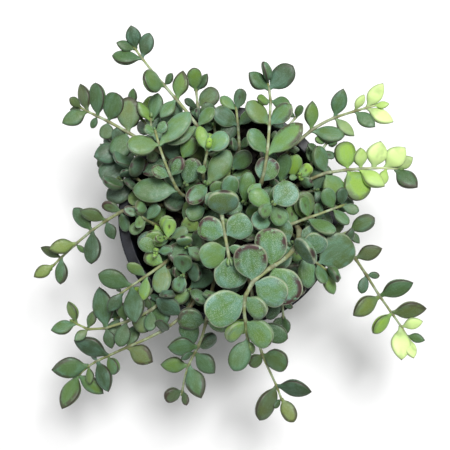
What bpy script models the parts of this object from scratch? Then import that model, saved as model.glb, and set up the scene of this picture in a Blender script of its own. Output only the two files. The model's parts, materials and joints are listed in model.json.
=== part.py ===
"""A trailing cotyledon in a black plastic nursery pot.

Meshes are in metres, +Z up. The origin is the centre of the pot's flat base, and +Y is the
top of the plant as it is seen from above. The plant's own sizes are given in millimetres, and
each mesh is scaled to metres once it is made.
"""

import math
import random
from collections import namedtuple

import bmesh
import bpy
import numpy as np
from mathutils import Matrix, Vector
from mathutils.bvhtree import BVHTree

MM = 0.001
UP = Vector((0, 0, 1))

# Pot
POT_TOP_DIAMETER = 140.0
POT_BASE_DIAMETER = 98.0
POT_HEIGHT = 108.0
POT_WALL = 1.6
BASE_THICKNESS = 2.4
LIP_WIDTH = 7.0
SKIRT_DROP = 11.0
EDGE_ROUND = 0.7
SMOOTH_UNDER = 30
POT_SIDES = 44
DRAIN_HOLES = 6
DRAIN_DIAMETER = 8.0
DRAIN_SIDES = 10
DRAIN_CIRCLE_RADIUS = 36.0

# Soil. The crown falls off towards the wall: each point has a share of the radius and of the height.
FIT_GAP = 0.3
CUT_SPARE = 1.0
SOIL_BELOW_RIM = 12.0
SOIL_CROWN = 2.5
CROWN_FALL = ((0.5, 0.75), (0.85, 0.2))
SOIL_EDGE_DROP = 1.0
SOIL_SIDES = 28
HOLE_DEPTH = 9.0
HOLE_RADIUS = 3.0
HOLE_SIDES = 4

RIM = POT_HEIGHT
SOIL = RIM - SOIL_BELOW_RIM
POT_RADIUS = POT_TOP_DIAMETER / 2
WALL_OUTSIDE_AT_TOP = POT_RADIUS - LIP_WIDTH + POT_WALL

# Stems
STEM_SIDE_AT_ROOT = 2.5
STEM_SIDE_AT_TIP = 1.5
COLLAR = 4.0
ROUTE_STEP = 3.0
RING_SPACING = 13.0
CURVE_POINTS = 24
STEMS_APART = 5.9
ROOTS_APART = 8.0
ROOT_REACH = 52.0
HELD_POINTS = 6
OVER_THE_RIM = 3.4
BESIDE_THE_RIM = (3.0, 2.0)
BEND_ROUNDS = 80
MOST_SHIFT = 1.5
SMOOTHING = 0.12
NODE_LENGTH = 2.4
BARE_FOOT = 7.0
BUD_LENGTH = 1.0

# Leaves. A station is a share of the way to the tip, with the width and thickness there as shares
# of the leaf's own. The leaves grown by rule below a tip, which others hide, have two stations.
LEAF_THICKNESS = 0.44
MOST_THICKNESS = 5.0
LEAF_CURL = 0.08
FACE_SHARE = 0.36
STATIONS = ((0.22, 0.68, 0.85), (0.57, 1.0, 1.0), (0.87, 0.74, 0.62))
PLAIN_STATIONS = ((0.32, 0.92, 1.0), (0.77, 0.90, 0.80))
PETIOLE_REACH = 1.3
FOOT_SHARE = 0.97
FOOT_LIFT = 0.03
TIP_RISE = (-2.5, 4.5)
TIP_SPREAD = 42
SPREAD_STEP = 16
WIDEST_SPREAD = 80
SHOOT_PAIRS = 3
LOWER_PAIRS = 2
PAIR_SPACING = 0.42
SPACING_STEP = 0.16
MOST_SPACING = 0.9
FIRST_LENGTH = 0.88
LENGTH_STEP = 0.08
LENGTH_RANGE = (0.94, 1.05)
WANDER = 0.12
LEAST_OUTWARD = 0.25
MORE_OUTWARD = 0.4
FACE_FORWARD = 0.45
FACE_UP = 0.9
FACE_WANDER = 0.25
LEAF_GAP = 0.4
LEAF_TRIES = 34
MOST_LEAN = 0.95
LEAST_LEAF = 0.66

Stem = namedtuple("Stem", "name root leaf width bends")

# The plant was measured on the view from straight above. A point is given as it is seen there, in
# steps across and down from the view's corner, and with its height above the pot's rim in mm.
VIEW_CENTRE = (225.0, 225.0)
POT_SEEN_AT = (228.0, 216.5)
VIEW_STEP = 0.636
EYE_HEIGHT = 480.0

# Each stem: where it leaves the soil, the full length and the width share of its leaves, and the
# points that it bends through. A bend may hold a pair of leaves: it then lists where their tips are
# seen, how far each rises where that matters, and its own width share where it has one. Below its
# last listed pair a stem grows pairs by rule.
STEMS = [
    Stem("stem_north_tall", (252, 204), 17, 0.66, [
        (257, 192, 18), (262, 184, 30, (270, 156, 5, 0.90), (250, 198, 4)),
        (268, 152, 36, (249, 127), (304, 125)), (269, 125, 33, (246, 104), (292, 104)),
        (272, 100, 27, (292, 103, 3), (258, 98, 8)), (270, 88, 24, (249, 73), (291, 69)),
        (267, 80, 22, (264, 60, 12, 0.70))]),
    Stem("stem_north_mid", (236, 170), 15, 0.62, [
        (240, 148, 8, (235, 138, 9, 0.90), (250, 142, 5, 0.80)),
        (238, 124, 14, (217, 112), (255, 110)), (236, 107, 10, (221, 96), (242, 87))]),
    Stem("stem_north_west_bud", (207, 158), 13, 0.6, [
        (202, 130, 6), (197, 106, 9, (183, 100), (217, 91, 0, 0.76)),
        (196, 88, 7, (193, 65, 9, 0.60), (208, 71, 1))]),
    Stem("stem_north_west_long", (217, 183), 17, 0.6, [
        (212, 155, 14), (197, 124, 24, (167, 143), (214, 106)), (176, 99, 25, (184, 71), (161, 119)),
        (163, 84, 22, (143, 61, 9, 0.72), (171, 70, 6)), (141, 58, 16, (112, 58), (150, 34)),
        (134, 47, 13, (126, 23, 4, 0.66), (115, 42, 3))]),
    Stem("stem_north_west_far", (190, 175), 17, 0.60, [
        (160, 150, 12), (125, 131, 15, (132, 100, 2, 0.66), (116, 152, 0, 0.80)),
        (107, 120, 11, (117, 92, 3, 0.84), (105, 135, -1, 0.80)),
        (97, 116, 8, (98, 83, 2, 0.66), (92, 128, -4)), (87, 112, 5, (79, 83), (61, 122)),
        (79, 107, 3, (68, 97, 7), (67, 111, -3))]),
    Stem("stem_north_west_shoot", (199, 192), 18, 0.7, [
        (184, 197, 12), (179, 190, 20, (138, 192, -3, 0.56)), (171, 178, 28, (152, 171), (184, 160, 3)),
        (158, 144, 36, (127, 146), (190, 113, -4, 0.60)),
        (155, 130, 36, (167, 122, 3, 0.90), (144, 122, 3, 0.90))]),
    Stem("stem_north_west_fill", (188, 160), 17, 0.62, [
        (160, 138, 7), (140, 118, 10, (118, 112), (155, 97)), (129, 105, 6, (133, 87), (111, 96))]),
    Stem("stem_west_upper", (176, 186), 17, 0.62, [
        (150, 168, 6), (127, 158, 6, (132, 134, 2), (108, 176, 0, 0.80)),
        (107, 152, -2, (93, 143, 2, 0.80), (101, 170, 0, 0.76)),
        (103, 146, -4, (112, 130, 2))]),
    Stem("stem_west_hanging", (170, 200), 13, 0.6, [
        (142, 184, 6), (124, 178, 3, (112, 165), (113, 179)), (116, 176, -6, (109, 173, -4))]),
    Stem("stem_west_long", (184, 213), 17, 0.56, [
        (150, 201, 8), (119, 212, 8, (101, 203, 1, 0.64), (126, 231, -3, 0.66)),
        (106, 221, 4, (81, 209), (115, 239, -1, 0.64)),
        (90, 231, 0, (73, 208), (92, 264)), (76, 244, -5, (49, 249), (86, 252, -3)),
        (60, 258, -10, (41, 246), (61, 284)), (52, 267, -13, (33, 278))]),
    Stem("stem_west_inner", (171, 230), 15, 0.62, [
        (147, 222, 13, (131, 235), (160, 207)), (138, 214, 20, (121, 209, 3), (138, 228, 3))]),
    Stem("stem_south_west_upper", (188, 240), 17, 0.58, [
        (163, 265, 15, (142, 256, 3, 0.84), (160, 295, 2, 0.62)), (146, 276, 15, (128, 262, 3), (143, 301)),
        (131, 286, 13, (99, 273), (138, 321)), (120, 294, 10, (102, 309), (117, 288, 4))]),
    Stem("stem_south_west_mid", (197, 253), 17, 0.60, [
        (175, 290, 6), (150, 312, 6, (150, 330), (139, 295)), (126, 322, 4, (121, 343), (122, 303)),
        (106, 328, -2, (101, 287), (112, 347)), (88, 333, -8, (75, 345), (96, 315)),
        (74, 322, -12, (50, 330), (68, 300))]),
    Stem("stem_south_west_low", (208, 262), 18, 0.60, [
        (195, 303, 9), (163, 331, 5, (160, 298), (146, 309)), (127, 347, -4, (137, 326), (152, 361, 0, 0.72)),
        (108, 356, -11, (76, 337), (118, 373, 2, 0.84)), (97, 361, -15, (110, 391), (84, 352)),
        (86, 365, -18, (49, 374), (90, 382)), (77, 377, -22, (76, 412), (103, 394, 0, 0.50))]),
    Stem("stem_south_west_fill", (179, 252), 16, 0.6, [
        (162, 276, 6), (148, 296, 8, (162, 304), (132, 290)), (132, 312, 0, (115, 315), (146, 330)),
        (117, 318, -8, (98, 307), (110, 336))]),
    Stem("stem_south_long", (216, 260), 17, 0.60, [
        (210, 300, 12), (206, 325, 12, (228, 332, -2), (178, 319, 0, 0.86)),
        (199, 347, 2, (170, 345, 1, 0.74), (218, 328, 2, 0.84)),
        (196, 352, -1, (217, 371, 1, 0.70), (180, 357, 4)), (187, 365, -7, (160, 362), (201, 396)),
        (182, 393, -14, (164, 400, 1, 0.86), (187, 407))]),
    Stem("stem_south_showy", (288, 217), 21, 0.82, [
        (299, 228, 20), (295, 253, 34), (272, 266, 42, (270, 227, 2), (292, 300, -7)),
        (250, 281, 45, (250, 247), (283, 298, 2)), (242, 299, 42, (203, 319), (262, 318)),
        (245, 321, 35, (231, 346), (270, 350)), (248, 332, 30, (222, 312, 16, 0.55), (266, 341, 9, 0.62)),
        (248, 341, 26, (234, 371, -2, 0.62))]),
    Stem("stem_south_east_long", (243, 255), 18, 0.60, [
        (252, 290, 4), (256, 330, 5, (228, 328), (288, 340)),
        (262, 356, -4, (255, 373, -1, 0.92), (286, 376, 1, 0.84)),
        (277, 385, -13, (312, 388), (258, 417)), (282, 401, -18, (289, 427), (271, 409))]),
    Stem("stem_south_east_fill", (262, 256), 16, 0.62, [
        (276, 285, 8, (262, 292), (296, 292)), (284, 304, 6, (268, 318), (296, 312)),
        (283, 318, -2, (288, 334), (272, 330))]),
    Stem("stem_east_crown", (277, 228), 18, 0.7, [
        (297, 240, 16), (303, 256, 25, (318, 236, 5, 0.92), (304, 290, -2, 0.56)),
        (318, 263, 20, (351, 240, -2, 0.90), (319, 294, -3, 0.60)),
        (328, 271, 15, (352, 277, 6, 0.88), (333, 295, -3, 0.60))]),
    Stem("stem_south_east_far", (283, 203), 17, 0.58, [
        (318, 222, 13, (316, 202), (304, 238)), (345, 244, 7, (343, 222), (325, 250)),
        (356, 260, 1, (382, 249)), (367, 275, -4, (378, 275), (362, 290)),
        (379, 296, -10, (411, 280), (351, 314)), (391, 312, -14, (425, 306), (371, 331)),
        (403, 328, -17, (424, 321), (402, 356)), (408, 338, -19, (413, 365), (426, 342))]),
    Stem("stem_east_mid", (276, 238), 17, 0.66, [
        (296, 226, 18), (307, 219, 21, (300, 198), (344, 229, -1, 0.64)),
        (335, 208, 16, (327, 190), (350, 224)),
        (344, 205, 11, (362, 206), (343, 189, 3))]),
    Stem("stem_east_low", (296, 236), 17, 0.6, [
        (318, 240, 8), (336, 238, 4, (330, 256), (345, 222)), (352, 230, -2, (376, 217), (360, 243))]),
    Stem("stem_east_long", (280, 189), 18, 0.66, [
        (305, 182, 10), (327, 170, 12, (317, 143), (341, 194, -2, 0.80)),
        (346, 171, 10, (341, 143, 0, 0.80), (374, 196, -2, 0.92)),
        (362, 168, 7, (356, 146, 2, 0.76), (386, 188, -1)), (375, 168, 4, (381, 141, 2, 0.84)),
        (386, 167, 2, (404, 146, 1, 0.80), (379, 184, 4)),
        (398, 169, -2, (424, 165), (418, 189))]),
    Stem("stem_north_east_long", (270, 175), 17, 0.55, [
        (290, 148, 9), (312, 129, 13, (311, 100), (344, 141)), (334, 117, 8, (341, 88), (351, 137)),
        (355, 111, 3, (363, 94, 6), (371, 125, 2)), (372, 107, 0, (392, 83), (396, 123)),
        (376, 105, -1, (391, 104))]),
    Stem("stem_north_east_inner", (294, 183), 16, 0.62, [
        (308, 168, 9), (320, 154, 12, (306, 147), (335, 158)), (328, 141, 9, (341, 128), (316, 130))]),
    Stem("stem_north_fill", (259, 158), 15, 0.62, [
        (272, 144, 7), (288, 127, 8, (272, 118), (300, 140)), (297, 116, 4, (302, 100), (285, 108))]),
    Stem("stem_centre_tall", (213, 204), 20, 0.84, [
        (221, 207, 22), (224, 235, 38, (199, 218, 0, 0.90), (249, 219, 0, 0.90)),
        (229, 248, 41, (202, 260, 0, 0.90), (247, 253, 4, 0.70)),
        (229, 258, 40, (233, 289, -8, 0.94))]),
    Stem("stem_centre_east", (266, 212), 17, 0.66, [
        (268, 210, 24), (271, 207, 36, (249, 192, 0, 0.72), (284, 224, -3, 0.84)),
        (273, 204, 42, (296, 186, 0, 0.90), (260, 215, 2, 0.84))]),
]

# The short upright shoots of the middle: the length and the width share of their leaves, and the
# points that they bend through, listed as those of the stems are. A shoot that lists no leaf grows
# all its pairs by rule.
SHOOTS = [
    (19, 0.60, [(207, 183, 23, (229, 150, -1, 0.54), (186, 203, 4))]),
    (17, 0.64, [(226, 199, 24, (233, 174, 5), (203, 197, 3))]),
    (18, 0.60, [(244, 203, 19, (249, 171, 3, 0.52), (221, 212, 0, 0.84))]),
    (17, 0.66, [(232, 169, 14, (251, 151, 5), (214, 181, -3))]),
    (17, 0.62, [(203, 184, 14), (204, 164, 28, (206, 153, 5, 0.90), (199, 173, 4, 0.80)),
                (208, 148, 34, (199, 125, -2, 0.50), (226, 127, -2, 0.76))]),
    (18, 0.66, [(182, 187, 20, (198, 160, 4), (161, 205, -4, 0.80))]),
    (17, 0.76, [(206, 207, 16, (186, 216, 3))]),
    (17, 0.80, [(200, 230, 14, (182, 220, 3), (220, 243, -2))]),
    (17, 0.76, [(187, 247, 20, (182, 236, 8, 0.90), (202, 258, -1))]),
    (17, 0.76, [(183, 275, 18, (182, 254, 5, 0.84), (176, 292, -4))]),
    (18, 0.64, [(190, 289, 10, (212, 271, 3), (175, 304, -2))]),
    (15, 0.62, [(170, 240, 18, (152, 246, 2), (188, 231, 1)), (166, 238, 25, (154, 226, 3), (169, 217, 3))]),
    (18, 0.56, [(282, 181, 14, (286, 152, 5), (299, 194, -3))]),
    (18, 0.66, [(303, 222, 16, (301, 191, 4), (318, 236, -3))]),
    (18, 0.76, [(292, 243, 20, (276, 219, 4), (303, 262, -2))]),
    (19, 0.74, [(316, 190, 8, (320, 156, 2), (327, 205, -2))]),
    (18, 0.72, [(157, 252, 18, (139, 240, 2), (173, 249, 3, 0.60))]),
    (17, 0.80, [(188, 309, 6, (168, 299, 3), (192, 324, 2))]),
    (18, 0.66, [(181, 158, 18, (194, 136, 4), (168, 166, -3))]),
    (18, 0.56, [(222, 143, 12, (231, 112, 1), (211, 153, -3))]),
    (17, 0.70, [(299, 177, 14, (291, 168, 3), (311, 162, 2))]),
    (18, 0.60, [(336, 206, 6, (331, 179, 3), (346, 183, 2))]),
    (18, 0.62, [(214, 125, 8, (215, 94, 0), (235, 106, 0, 0.70))]),
    (18, 0.72, [(122, 180, 8)]),
    (18, 0.56, [(150, 140, 12), (151, 118, 16, (157, 90, 0), (137, 100, 2))]),
    (18, 0.72, [(120, 148, 10)]),
    (18, 0.74, [(250, 222, 18)]),
    (17, 0.70, [(295, 275, 10)]),
    (18, 0.66, [(166, 128, 16, (177, 99, 2), (148, 137, -3))]),
]
SHOOT_LEAN = 0.80
SHOOT_TURN = 37

MATERIALS = {
    "black_plastic": ((0.020, 0.020, 0.026), 0.45),
    "soil": ((0.030, 0.022, 0.016), 0.95),
    "leaf": ((0.190, 0.320, 0.160), 0.55),
}


def clear_scene():
    for obj in list(bpy.data.objects):
        bpy.data.objects.remove(obj)


def new_collection(name):
    collection = bpy.data.collections.new(name)
    bpy.context.scene.collection.children.link(collection)
    return collection


def material(name):
    """A Principled material with the slot's colour and roughness."""
    found = bpy.data.materials.get(name)
    if found:
        return found
    colour, roughness = MATERIALS[name]
    made = bpy.data.materials.new(name)
    made.use_nodes = True
    shader = made.node_tree.nodes["Principled BSDF"]
    shader.inputs["Base Color"].default_value = (*colour, 1)
    shader.inputs["Roughness"].default_value = roughness
    shader.inputs["Metallic"].default_value = 0
    return made


def new_object(name, bm, collection, slot):
    """An object in metres from a bmesh in millimetres."""
    mesh = bpy.data.meshes.new(name)
    bm.to_mesh(mesh)
    bm.free()
    mesh.transform(Matrix.Scale(MM, 4))
    obj = bpy.data.objects.new(name, mesh)
    collection.objects.link(obj)
    if slot:
        mesh.materials.append(material(slot))
    return obj


def apply_modifiers(obj):
    """Puts the evaluated mesh in place of the object's own, and drops its modifiers."""
    graph = bpy.context.evaluated_depsgraph_get()
    done = bpy.data.meshes.new_from_object(obj.evaluated_get(graph))
    obj.modifiers.clear()
    obj.data = done


def turned(name, outline, sides, collection, slot):
    """A solid turned about Z from an outline of (radius, height) that starts and ends on the axis."""
    bm = bmesh.new()
    corners = [bm.verts.new((radius, 0, height)) for radius, height in outline]
    for a, b in zip(corners, corners[1:]):
        bm.edges.new((a, b))
    obj = new_object(name, bm, collection, slot)
    screw = obj.modifiers.new("turn", "SCREW")
    screw.axis = "Z"
    screw.steps = sides
    screw.render_steps = sides
    screw.use_merge_vertices = True
    screw.merge_threshold = 0.00001
    apply_modifiers(obj)
    return obj


def inside_radius(height):
    """The pot's inner radius at a height."""
    share = height / POT_HEIGHT
    outside = POT_BASE_DIAMETER / 2 * (1 - share) + WALL_OUTSIDE_AT_TOP * share
    return outside - POT_WALL


def pot_outline():
    """From the middle of the floor, up the inside, over the lip and its skirt, and down the outside."""
    rim, under_lip = RIM, RIM - POT_WALL
    skirt_foot = RIM - SKIRT_DROP
    skirt_inside = POT_RADIUS - POT_WALL
    return [
        (0, BASE_THICKNESS),
        (inside_radius(BASE_THICKNESS), BASE_THICKNESS),
        (inside_radius(rim), rim - EDGE_ROUND),
        (inside_radius(rim) + EDGE_ROUND, rim),
        (POT_RADIUS - EDGE_ROUND, rim),
        (POT_RADIUS, rim - EDGE_ROUND),
        (POT_RADIUS, skirt_foot),
        (skirt_inside, skirt_foot),
        (skirt_inside, under_lip),
        (inside_radius(under_lip) + POT_WALL, under_lip),
        (inside_radius(EDGE_ROUND) + POT_WALL, EDGE_ROUND),
        (inside_radius(0) + POT_WALL - EDGE_ROUND, 0),
        (0, 0),
    ]


def cut(obj, cutters):
    """Cuts every cutter out of the object at once."""
    boolean = obj.modifiers.new("holes", "BOOLEAN")
    boolean.operation = "DIFFERENCE"
    boolean.solver = "EXACT"
    boolean.operand_type = "COLLECTION"
    boolean.collection = cutters
    apply_modifiers(obj)
    for cutter in list(cutters.objects):
        bpy.data.objects.remove(cutter)


def peg(name, x, y, low, high, radius, sides, collection):
    """An upright prism, used as a cutter."""
    bm = bmesh.new()
    middle = Matrix.Translation((x, y, (low + high) / 2))
    bmesh.ops.create_cone(bm, cap_ends=True, segments=sides, radius1=radius, radius2=radius,
                          depth=high - low, matrix=middle)
    obj = new_object(name, bm, collection, None)
    obj.hide_render = True
    obj.display_type = "WIRE"
    return obj


def make_pot(parts, cutters):
    pot = turned("pot", pot_outline(), POT_SIDES, parts, "black_plastic")
    for k in range(DRAIN_HOLES):
        angle = math.tau * k / DRAIN_HOLES
        x = DRAIN_CIRCLE_RADIUS * math.cos(angle)
        y = DRAIN_CIRCLE_RADIUS * math.sin(angle)
        peg(f"drain_{k}", x, y, -CUT_SPARE, BASE_THICKNESS + CUT_SPARE, DRAIN_DIAMETER / 2,
            DRAIN_SIDES, cutters)
    cut(pot, cutters)
    pot.data.shade_smooth()
    pot.data.set_sharp_from_angle(angle=math.radians(SMOOTH_UNDER))
    return pot


def make_soil(parts, cutters, roots):
    """Potting soil with a slight crown, and a plain hole for the foot of each stem."""
    low = BASE_THICKNESS + FIT_GAP
    wall = inside_radius(SOIL) - FIT_GAP
    outline = [
        (0, SOIL + SOIL_CROWN),
        *((wall * reach, SOIL + SOIL_CROWN * rise) for reach, rise in CROWN_FALL),
        (wall, SOIL - SOIL_EDGE_DROP),
        (inside_radius(low) - FIT_GAP, low),
        (0, low),
    ]
    soil = turned("soil", outline, SOIL_SIDES, parts, "soil")
    top = SOIL + SOIL_CROWN + CUT_SPARE
    for k, (x, y) in enumerate(roots):
        peg(f"hole_{k}", x, y, SOIL - HOLE_DEPTH, top, HOLE_RADIUS, HOLE_SIDES, cutters)
    cut(soil, cutters)
    return soil


def seen(x, y, height):
    """The point that is seen at (x, y) from above and lies at a height above the rim."""
    step = VIEW_STEP * (EYE_HEIGHT - height) / EYE_HEIGHT
    east = (VIEW_CENTRE[0] - POT_SEEN_AT[0]) * VIEW_STEP + (x - VIEW_CENTRE[0]) * step
    north = (POT_SEEN_AT[1] - VIEW_CENTRE[1]) * VIEW_STEP + (VIEW_CENTRE[1] - y) * step
    return Vector((east, north, RIM + height))


def shoots():
    """The short upright shoots, each rooted a little nearer the pot's middle than it bends."""
    made = []
    for k, (leaf, width, bends) in enumerate(SHOOTS):
        root = [middle + (place - middle) * SHOOT_LEAN for place, middle in zip(bends[0], POT_SEEN_AT)]
        made.append(Stem(f"shoot_{k + 1:02d}", root, leaf, width, bends))
    return made


def spread_roots(stems):
    """Where each stem leaves the soil, moved apart until every hole has room."""
    roots = np.array([seen(*stem.root, -SOIL_BELOW_RIM)[:2] for stem in stems])
    for _ in range(BEND_ROUNDS):
        apart = roots[:, None] - roots[None]
        distance = np.linalg.norm(apart, axis=2) + np.eye(len(roots)) * ROOTS_APART
        push = np.maximum(0, ROOTS_APART - distance) / np.maximum(distance, 0.1)
        roots += 0.5 * (push[..., None] * apart).sum(axis=1)
        reach = np.linalg.norm(roots, axis=1, keepdims=True)
        roots *= np.minimum(1, ROOT_REACH / reach)
    return roots


def catmull_rom(points):
    """A smooth curve from the second of the points to the last."""
    points = np.asarray(points, float)
    padded = np.vstack([points, 2 * points[-1] - points[-2]])
    fine = []
    for a, b, c, d in zip(padded, padded[1:], padded[2:], padded[3:]):
        for t in np.linspace(0, 1, CURVE_POINTS, endpoint=False):
            fine.append(0.5 * (2 * b + (c - a) * t + (2 * a - 5 * b + 4 * c - d) * t * t
                               + (3 * b - a - 3 * c + d) * t ** 3))
    fine.append(points[-1])
    return np.array(fine)


def distances_along(points):
    return np.concatenate([[0], np.cumsum(np.linalg.norm(np.diff(points, axis=0), axis=1))])


def resampled(points, spacing):
    along = distances_along(points)
    places = np.linspace(0, along[-1], max(4, round(along[-1] / spacing)) + 1)
    return np.stack([np.interp(places, along, points[:, axis]) for axis in range(3)], axis=1)


def route_of(stem, root):
    """The stem's line, from its foot in the soil up and out to its tip."""
    foot = (*root, SOIL - HOLE_DEPTH + FIT_GAP)
    collar = Vector((*root, SOIL + COLLAR))
    bends = [seen(*bend[:3]) for bend in stem.bends]
    below = collar - UP * (bends[0] - collar).length
    return resampled(np.vstack([foot, catmull_rom([below, collar] + bends)]), ROUTE_STEP)


def keep_over_the_rim(points):
    """Lifts the points that cross the pot's lip too low."""
    radius = np.hypot(points[:, 0], points[:, 1])
    inside, outside = BESIDE_THE_RIM
    over = (radius > inside_radius(RIM) - inside) & (radius < POT_RADIUS + outside)
    low = over & (points[:, 2] < RIM + OVER_THE_RIM)
    points[low, 2] += 0.5 * (RIM + OVER_THE_RIM - points[low, 2])


def bend_clear(routes):
    """Pushes stems apart wherever two of them come close, and smooths what that bends."""
    every = np.vstack(routes)
    counts = [len(route) for route in routes]
    owner = np.repeat(np.arange(len(routes)), counts)
    place = np.concatenate([np.arange(count) for count in counts])
    free = place >= HELD_POINTS
    inner = free & (place < np.repeat(counts, counts) - 1)
    for _ in range(BEND_ROUNDS):
        apart = every[:, None] - every[None]
        distance = np.linalg.norm(apart, axis=2)
        close = (distance < STEMS_APART) & (owner[:, None] != owner[None])
        push = np.where(close, (STEMS_APART - distance) / np.maximum(distance, 0.01), 0)
        shift = 0.5 * (push[..., None] * apart).sum(axis=1)
        size = np.linalg.norm(shift, axis=1, keepdims=True)
        shift *= np.minimum(1, MOST_SHIFT / np.maximum(size, 0.01))
        every[free] += shift[free]
        keep_over_the_rim(every)
        middle = (np.roll(every, 1, axis=0) + np.roll(every, -1, axis=0)) / 2
        every[inner] += SMOOTHING * (middle - every)[inner]
    return np.split(every, np.cumsum(counts)[:-1])


def place_on(route, distance):
    """The point and the direction at a distance along a route."""
    along = distances_along(route)
    at, before, after = (
        Vector([float(np.interp(d, along, route[:, axis])) for axis in range(3)])
        for d in (distance, max(distance - 2, 0), min(distance + 2, along[-1]))
    )
    return at, (after - before).normalized()


Tip = namedtuple("Tip", "way width")
Pair = namedtuple("Pair", "distance tips")


def pairs_of(number, stem, route):
    """The stem's pairs of leaves, from the tip down: the listed ones, then those grown by rule."""
    draw = random.Random(number)
    along = distances_along(route)
    pairs = []
    for bend in reversed(stem.bends):
        if len(bend) == 3:
            continue
        at = seen(*bend[:3])
        nearest = along[np.linalg.norm(route - np.array(at), axis=1).argmin()]
        roof = pairs[-1].distance - 2 * NODE_LENGTH if pairs else along[-1] - NODE_LENGTH / 2
        tips = []
        for x, y, *more in bend[3:]:
            rise, width = (*more, stem.width)[:2] if more else (draw.uniform(*TIP_RISE), stem.width)
            tips.append(Tip(seen(x, y, bend[2] + rise) - at, width))
        pairs.append(Pair(min(nearest, roof), tips))
    by_rule = LOWER_PAIRS if pairs else SHOOT_PAIRS
    if not pairs:
        pairs.append(Pair(along[-1] - NODE_LENGTH / 2, None))
        by_rule -= 1
    for _ in range(by_rule):
        rank = len(pairs) - 1
        distance = pairs[-1].distance - stem.leaf * min(MOST_SPACING, PAIR_SPACING + SPACING_STEP * rank)
        if distance < HOLE_DEPTH + COLLAR + BARE_FOOT:
            break
        pairs.append(Pair(distance, None))
    return pairs


Ring = namedtuple("Ring", "centre side across half pair")


def stops_of(pairs, total):
    """How far along the stem each ring sits, and the pair that it bounds, if any."""
    stops = [(0.0, None), (HOLE_DEPTH + COLLAR, None)]
    for rank, pair in reversed(list(enumerate(pairs))):
        start = stops[-1][0]
        gap = pair.distance - NODE_LENGTH / 2 - start
        between = math.floor(gap / RING_SPACING)
        stops += [(start + gap * (k + 1) / (between + 1), None) for k in range(between)]
        stops += [(pair.distance - NODE_LENGTH / 2, rank), (pair.distance + NODE_LENGTH / 2, rank)]
    if total - stops[-1][0] > 1:
        stops.append((total, None))
    return stops


def rings_of(number, stem, route, pairs):
    """The square rings that a stem is extruded through. A pair of leaves grows between two rings."""
    total = distances_along(route)[-1]
    stops = stops_of(pairs, total)
    places = [place_on(route, distance) for distance, _ in stops]
    levels = [Vector((1, 0, 0))]
    for _, forward in places:
        level = levels[-1] - forward * levels[-1].dot(forward)
        levels.append(level.normalized())
    levels.pop(0)

    rolls = {}
    for (_, rank), (_, forward), level in reversed(list(zip(stops, places, levels))):
        if rank is None or rank in rolls:
            continue
        tips = pairs[rank].tips
        if tips:
            across = tips[0].way - (tips[1].way if len(tips) > 1 else Vector())
            across = across - forward * across.dot(forward)
            if across.length < 1:
                across = UP.cross(forward)
            rolls[rank] = math.degrees(math.atan2(across.dot(forward.cross(level)), across.dot(level)))
        else:
            rolls[rank] = rolls.get(rank - 1, number * SHOOT_TURN - 90) + 90

    rings, roll = [], 0.0
    for (distance, rank), (centre, forward), level in zip(stops, places, levels):
        if rank is not None:
            roll += (rolls[rank] - roll + 45) % 90 - 45
        turn = roll if rank is None else rolls[rank]
        side = Matrix.Rotation(math.radians(turn), 3, forward) @ level
        share = distance / total
        half = (STEM_SIDE_AT_ROOT * (1 - share) + STEM_SIDE_AT_TIP * share) / 2
        rings.append(Ring(centre, side, forward.cross(side), half, rank))
    return rings


def ring_corners(ring):
    s, a = ring.side * ring.half, ring.across * ring.half
    return [ring.centre + s + a, ring.centre - s + a, ring.centre - s - a, ring.centre + s - a]


def least_twist(before, corners):
    """The corners, started from the one that twists a run from `before` to them least."""
    middle, aim = (sum(ring, Vector()) / len(ring) for ring in (before, corners))
    ways = [(corner - middle).normalized() for corner in before]
    orders = [corners[k:] + corners[:k] for k in range(len(corners))]
    return max(orders, key=lambda order: sum(
        way.dot((corner - aim).normalized()) for way, corner in zip(ways, order)))


def tube_of(rings):
    """The corners of a stem's rings, each in step with the ring before."""
    tube = [ring_corners(rings[0])]
    for ring in rings[1:]:
        tube.append(least_twist(tube[-1], ring_corners(ring)))
    return tube


def bud_of(rings):
    """The point in which a stem ends."""
    last = rings[-1]
    return last.centre + last.side.cross(last.across) * BUD_LENGTH


Leaf = namedtuple("Leaf", "seat outward face length width stations")


def sections(leaf, spare=0.0):
    """The leaf's foot, its rings of right, top, left and bottom points, and its tip, all swollen."""
    right = leaf.face.cross(leaf.outward)
    thickness = min(LEAF_THICKNESS * leaf.width * leaf.length, MOST_THICKNESS)
    rings = []
    reach = PETIOLE_REACH + spare
    foot = [leaf.seat + way * reach for way in (right, leaf.face, -right, -leaf.face)]
    for station, wide, thick in leaf.stations:
        curl = leaf.face * (LEAF_CURL * leaf.length * station ** 2)
        middle = leaf.seat + leaf.outward * (leaf.length * station) + curl
        half = right * (leaf.length * leaf.width * wide / 2 + spare)
        top = leaf.face * (thickness * thick * FACE_SHARE + spare)
        bottom = leaf.face * (thickness * thick * (1 - FACE_SHARE) + spare)
        rings.append([middle + half, middle + top, middle - half, middle - bottom])
    tip = leaf.seat + leaf.outward * (leaf.length + spare) + leaf.face * (LEAF_CURL * leaf.length)
    return foot, rings, tip


def shell_faces(rings, tip=None, start=None):
    """The corners and the triangles of the skin of a run of rings, open or closed at either end.

    Each side between two rings is split both ways, as it isn't flat.
    """
    corners, faces = [], []
    if start is not None:
        rings = [start] + rings
    for ring in rings:
        first = len(corners)
        corners += ring
        if first:
            for k in range(4):
                after = (k + 1) % 4
                a, b, c, d = first - 4 + k, first - 4 + after, first + after, first + k
                faces += [(a, b, c), (a, c, d), (a, b, d), (b, c, d)]
    if tip is not None:
        last = len(corners) - 4
        corners.append(tip)
        faces += [(last + k, last + (k + 1) % 4, last + 4) for k in range(4)]
    return corners, faces


Obstacle = namedtuple("Obstacle", "low high tree corners faces owner")


def obstacle_of(corners, faces, owner):
    box = np.array(corners)
    tree = BVHTree.FromPolygons(corners, faces)
    return Obstacle(box.min(axis=0), box.max(axis=0), tree, corners, faces, owner)


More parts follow.
